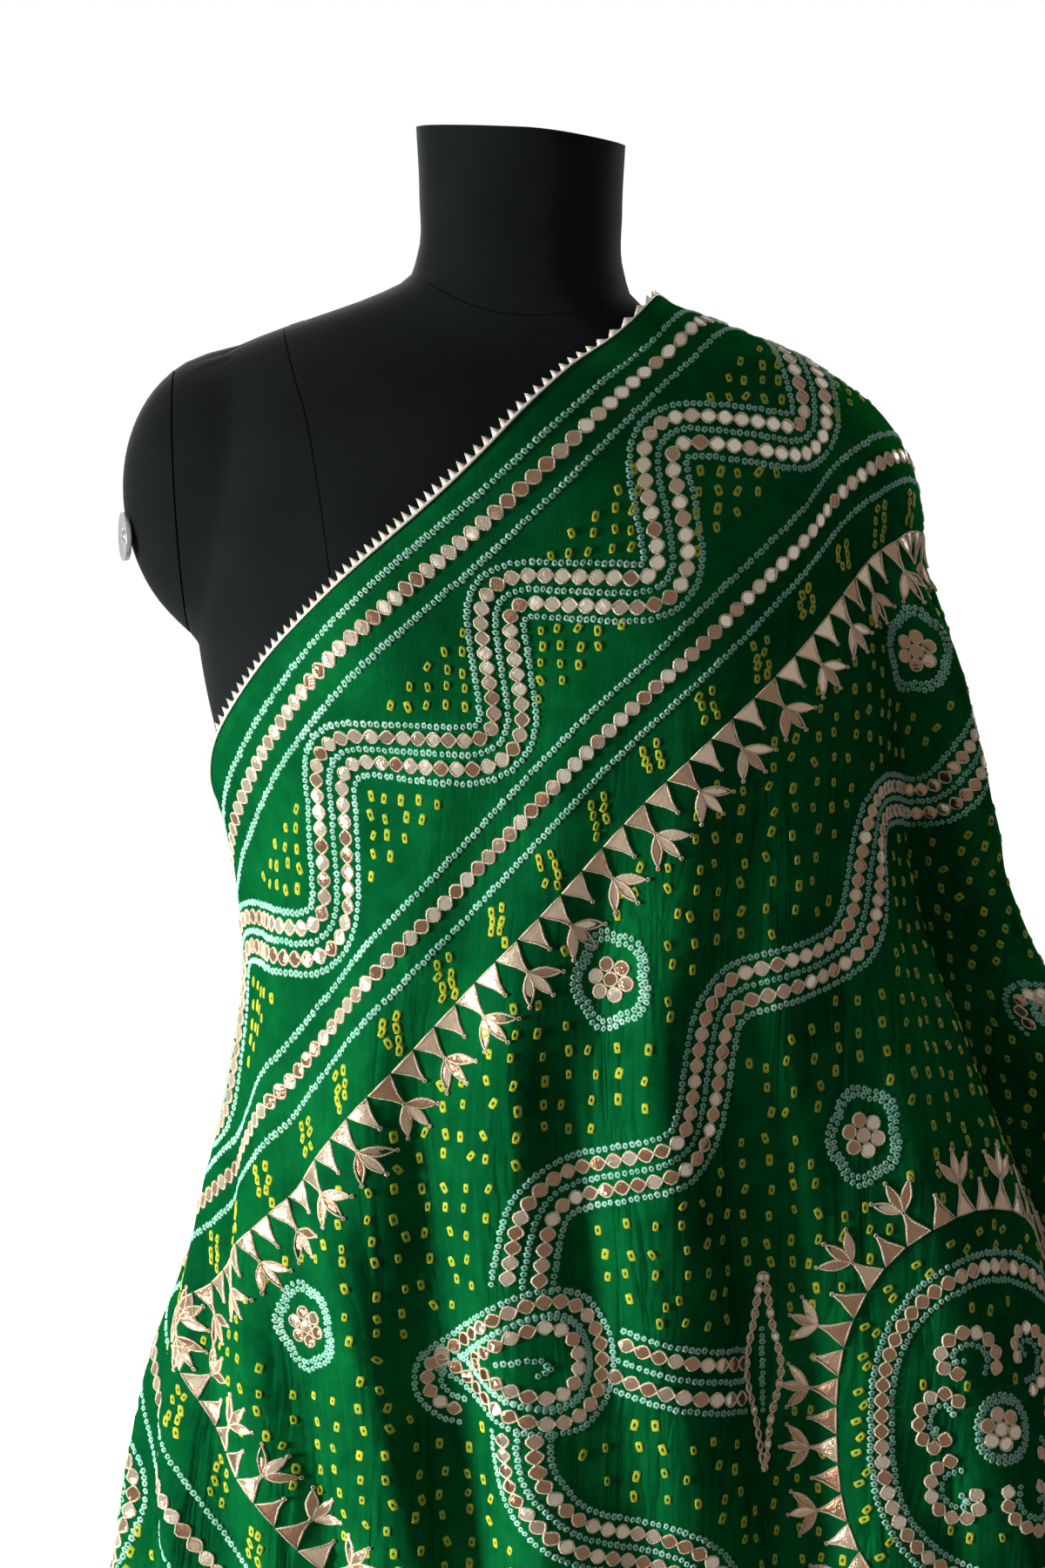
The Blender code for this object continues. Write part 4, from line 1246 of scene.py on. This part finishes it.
def onForm(angle, z):
    angle, z = np.broadcast_arrays(np.asarray(angle, float), np.asarray(z, float))
    power = 2.0 / formShape["power"]
    x = columnCurve(torso, 1, z) * signedPower(np.cos(angle), power)
    front, behind = columnCurve(torso, 2, z) + bustDepth(x, z), columnCurve(torso, 3, z)
    s = np.sin(angle)
    return np.stack([x, np.where(s > 0.0, behind, front) * signedPower(s, power), z - lean(x, z)], axis=-1)


def withArms(ring, z):
    # a ring of the body, let out at the sides to take in the arm stubs, with a soft hollow between
    far = np.hypot(ring[:, 0], ring[:, 1])
    cx, sy = ring[:, 0] / far, ring[:, 1] / far
    rx, ry, rz = formShape["armRadii"]
    mx = np.where(ring[:, 0] < 0.0, -armMiddles[-1.0][0], armMiddles[1.0][0])
    my, mz = armMiddles[1.0][1:]
    a = (cx / rx)**2 + (sy / ry)**2
    b = cx * mx / rx**2 + sy * my / ry**2
    c = (mx / rx)**2 + (my / ry)**2 + ((z - mz) / rz)**2 - 1.0
    root = b * b - a * c
    arm = np.where(root > 0.0, (b + np.sqrt(np.maximum(root, 0.0))) / a, 0.0)
    near = np.maximum(formMesh["blend"] - np.abs(far - arm), 0.0) / formMesh["blend"]
    grown = np.maximum(far, arm) + near**2 * formMesh["blend"] / 4
    grown = np.where((root > 0.0) & (arm > formMesh["merges"] * far), grown, far)
    x, y = cx * grown, sy * grown
    return np.column_stack([x, y, z - lean(x, z)])


def smoothForm():
    low, top, count = formMesh["hipLow"], formMesh["neckTop"], formMesh["around"]
    angle = 2 * math.pi * np.arange(count) / count
    heights = np.linspace(low, top, int((top - low) / formMesh["step"]))
    rings = [withArms(onForm(angle, z), z) for z in heights]
    caps = []
    for ring, way in ((rings[0], -1.0), (rings[-1], 1.0)):
        middle = ring.mean(axis=0)
        rise = np.array([0.0, 0.0, way * formMesh["crownRise"]])
        caps.append([middle + (ring - middle) * size + rise for size in formMesh["crown"]])
    rings = caps[0][::-1] + rings + caps[1]
    points = np.vstack([*rings, rings[0].mean(axis=0), rings[-1].mean(axis=0)])
    # the two closing fans are made of four-cornered faces too, so all faces have one size
    here = np.arange(0, count, 2)
    after, before, last = here + 1, (here - 1) % count, (len(rings) - 1) * count
    ends = np.full((2, len(here)), [[len(points) - 2], [len(points) - 1]])
    fans = np.vstack([np.column_stack([after, here, before, ends[0]]),
                      np.column_stack([here + last, after + last, ends[1], before + last])])
    return meshObject("padded_body", points, np.vstack([between(count, len(rings), True), fans]))


def soloed(piece):
    bpy.ops.object.select_all(action="DESELECT")
    bpy.context.view_layer.objects.active = piece
    piece.select_set(True)
    bpy.ops.object.mode_set(mode="EDIT")


def trimmed(piece, side, keepOutside):
    # cuts the form at the arm's seam and closes the cut
    soloed(piece)
    bpy.ops.mesh.select_all(action="SELECT")
    place = formMesh["armSeam"] + (formMesh["armGap"] if keepOutside else -formMesh["armGap"])
    bpy.ops.mesh.bisect(plane_co=(side * place, 0.0, formMesh["armSeamZ"]),
                        plane_no=(side, 0.0, -formMesh["armSeamTilt"]),
                        use_fill=True, clear_inner=keepOutside, clear_outer=not keepOutside)
    bpy.ops.object.mode_set(mode="OBJECT")
    bpy.ops.object.shade_smooth_by_angle(angle=formMesh["smooth"])


body = smoothForm()
for side, name, node in ((-1.0, "arm_pad_left", "form_arm_left"), (1.0, "arm_pad_right", "form_arm_right")):
    stub = body.copy()
    stub.data = body.data.copy()
    stub.name = name
    bpy.context.scene.collection.objects.link(stub)
    trimmed(stub, side, True)
    kept(stub, cover, node)
for side in armMiddles:
    trimmed(body, side, False)
kept(body, cover, "form_torso")

# seams: angle round the form and height, or across and height on the front
seams = {
    "neckHalf": 0.0575, "neckLow": 1.5044, "neckRise": 0.0206, "neckDip": 0.004,
    "panel": [(0.125, 1.4966), (0.117, 1.470), (0.109, 1.4455), (0.102, 1.410), (0.096, 1.3726),
              (0.088, 1.320), (0.074, 1.250), (0.066, 1.165), (0.076, 1.060), (0.088, 0.950), (0.090, 0.872)],
    "middle": [(0.0, 1.5200), (0.0, 1.35), (0.0, 1.20), (0.0, 1.05), (0.0, 0.872)],
}


def seamRun(across, z, behind):
    c = signedPower(across / columnCurve(torso, 1, z), formShape["power"] / 2.0)
    return np.column_stack([(1.0 if behind else -1.0) * np.arccos(np.clip(c, -1.0, 1.0)), z])


def seamStrip(run):
    angle, z = run.T
    place = onForm(angle, z)
    normal = unit(np.cross(onForm(angle + 1e-3, z) - place, onForm(angle, z + 1e-4) - place))
    across = unit(np.cross(np.gradient(place, axis=0), normal)) * 0.5 * formMesh["seamWide"]
    low, high = formMesh["seamLow"], formMesh["seamHigh"]
    return np.vstack([place + across * offset + normal * height for offset, height in
                      ((1.0, low), (0.5, high), (-0.5, high), (-1.0, low))])


def laySeams():
    across = np.linspace(-seams["neckHalf"], seams["neckHalf"], samples["neckSeam"])
    z = seams["neckLow"] + seams["neckRise"] * (across / seams["neckHalf"])**2
    behind = np.linspace(0.0, math.pi, samples["neckBehind"])
    runs = [np.vstack([seamRun(across, z, False),
                       np.column_stack([behind, z[-1] - seams["neckDip"] * np.sin(behind)])])]
    across, z = throughPoints(seams["panel"], False, samples["panelSeam"]).T
    runs += [seamRun(side * across, z, behind) for side in armMiddles for behind in (False, True)]
    across, z = throughPoints(seams["middle"], False, samples["middleSeam"]).T
    runs.append(seamRun(across, z, True))
    points, corners, count = [], [], 0
    for run in runs:
        corners.append(count + between(len(run), 4))
        points.append(seamStrip(run))
        count += len(points[-1])
    # the strips carry painted shade along the seams
    piece = meshObject("cover_seams", np.vstack(points), np.vstack(corners))
    kept(piece, seamShadowPaint)


laySeams()

plate = {
    "radius": 0.013, "thick": 0.003, "turn": math.radians(15.5), "low": 0.016, "rim": 0.0030, "dish": 0.0010,
    "screw": 0.0036, "screwRim": 0.0012, "screwOut": 0.0008, "slotIn": 0.0012, "bevel": 0.0005,
    "smooth": math.radians(40.0),
}


def armPlate():
    facing = np.array([-math.cos(plate["turn"]), -math.sin(plate["turn"]), 0.0])
    radii = np.array(formShape["armRadii"])
    middle = np.array(armMiddles[-1.0]) * [-1.0, 1.0, 1.0] - [0.0, 0.0, plate["low"]]
    bpy.ops.object.select_all(action="DESELECT")
    bpy.ops.mesh.primitive_cylinder_add(vertices=64, radius=plate["radius"], depth=plate["thick"])
    disc = bpy.context.object
    disc.name = "arm_plate"
    bpy.ops.object.mode_set(mode="EDIT")
    bpy.ops.mesh.select_all(action="DESELECT")
    bpy.ops.object.mode_set(mode="OBJECT")
    for face in disc.data.polygons:
        face.select = face.normal.z < -0.9
    bpy.ops.object.mode_set(mode="EDIT")
    bpy.ops.mesh.inset(thickness=plate["rim"])
    bpy.ops.transform.translate(value=(0.0, 0.0, plate["dish"]))
    bpy.ops.mesh.inset(thickness=plate["radius"] - plate["rim"] - plate["screw"])
    bpy.ops.mesh.extrude_region_move(TRANSFORM_OT_translate={"value": (0.0, 0.0, -plate["screwOut"])})
    bpy.ops.mesh.inset(thickness=plate["screwRim"])
    bpy.ops.mesh.extrude_region_move(TRANSFORM_OT_translate={"value": (0.0, 0.0, plate["slotIn"])})
    bpy.ops.object.mode_set(mode="OBJECT")
    edge = disc.modifiers.new("edge", "BEVEL")
    edge.width = plate["bevel"]
    edge.segments = 3
    edge.limit_method = "ANGLE"
    bpy.ops.object.modifier_apply(modifier="edge")
    bpy.ops.object.shade_smooth_by_angle(angle=plate["smooth"])
    disc.rotation_euler = (0.0, math.pi / 2.0, plate["turn"])
    disc.location = middle + radii**2 * facing / np.linalg.norm(radii * facing)
    bpy.ops.object.transform_apply(location=True, rotation=True, scale=True)
    kept(disc, steel, "form_arm_plate")


armPlate()

for node in ("stand_flange", "stand_pole", "stand_base"):
    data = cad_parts[node].data
    data.materials.clear()
    data.materials.append(paint)
print("pieces made")

# floor, light and camera
room = {"reach": 11.0, "floorZ": -0.0005, "white": 1.0, "fill": 0.05,
        "floorGlow": (0.35, 1.0), "floorFades": (0.4, 2.4)}
lamps = {                                        # place, what it points at, width, watts
    "key": ((-3.4, -1.25, 0.75), (0.0, 0.0, 1.05), 0.8, 205.0),
    "front": ((-1.9, -3.0, 2.6), (0.0, 0.0, 1.2), 2.4, 20.0),
    "back": ((-1.2, 3.0, 2.2), (0.0, 0.0, 1.2), 1.6, 45.0),
    "side": ((2.6, 3.0, 2.3), (0.0, 0.0, 1.1), 1.8, 45.0),
}
view = {"place": (0.0009, -2.0, 1.516), "down": math.radians(7.4), "lens": 86.96, "sensor": 36.0, "far": 40.0}
plainWhite = (1.0, 1.0, 1.0, 1.0)


def staged(name, material):
    # only the camera sees it, so it neither lights the cloth nor shades it
    piece = bpy.context.object
    piece.name = name
    piece.data.materials.append(material)
    for ray in ("diffuse", "glossy", "transmission", "shadow"):
        setattr(piece, "visible_" + ray, False)
    return piece


def studio():
    bpy.ops.object.select_all(action="DESELECT")
    material, tree = newMaterial("pale_floor", (0.86, 0.86, 0.86), 0.8, Emission_Color=plainWhite)
    place = placeOf(tree)
    far = addNode(tree, "VectorMath", {0: place}, operation="LENGTH").outputs["Value"]
    fades, glows = room["floorFades"], room["floorGlow"]
    glow = addNode(tree, "MapRange", {"Value": far, "From Min": fades[0], "From Max": fades[1],
                                      "To Min": glows[0], "To Max": glows[1]})
    wire(tree, "Emission Strength", glow.outputs["Result"])
    wire(tree, "Base Color", blend(tree, noise(tree, place, 3.0), [0.84] * 3, [0.88] * 3, (0.3, 0.7)))
    bpy.ops.mesh.primitive_circle_add(vertices=96, radius=room["reach"], fill_type="NGON",
                                      location=(0.0, 0.0, room["floorZ"]))
    staged("floor", material)
    material, tree = newMaterial("white_backdrop", (0.0, 0.0, 0.0), 1.0, Specular_IOR_Level=0.0,
                                 Emission_Color=plainWhite, Emission_Strength=room["white"])
    bpy.ops.mesh.primitive_uv_sphere_add(segments=48, ring_count=24, radius=room["reach"] * 1.02)
    backdrop = staged("backdrop", material)
    backdrop.visible_glossy = True               # the mirrors show it
    for name, (place, aim, size, power) in lamps.items():
        light = bpy.data.lights.new(name, "AREA")
        light.shape = "DISK"
        light.size = size
        light.energy = power
        lamp = bpy.data.objects.new(name, light)
        bpy.context.scene.collection.objects.link(lamp)
        lamp.location = place
        away = np.array(place) - np.array(aim)
        lamp.rotation_euler = (math.acos(away[2] / np.linalg.norm(away)), 0.0,
                               math.atan2(away[1], away[0]) + math.pi / 2)
    world = bpy.data.worlds.new("studio")
    bpy.context.scene.world = world
    world.use_nodes = True
    background = world.node_tree.nodes["Background"]
    background.inputs["Color"].default_value = plainWhite
    background.inputs["Strength"].default_value = room["fill"]
    bpy.context.scene.view_settings.view_transform = "Standard"


def addCamera():
    camera = bpy.data.cameras.new("camera")
    camera.lens = view["lens"]
    camera.sensor_width = view["sensor"]
    camera.clip_end = view["far"]
    eye = bpy.data.objects.new("camera", camera)
    bpy.context.scene.collection.objects.link(eye)
    eye.location = view["place"]
    eye.rotation_euler = (math.pi / 2 - view["down"], 0.0, 0.0)
    bpy.context.scene.camera = eye


studio()
addCamera()
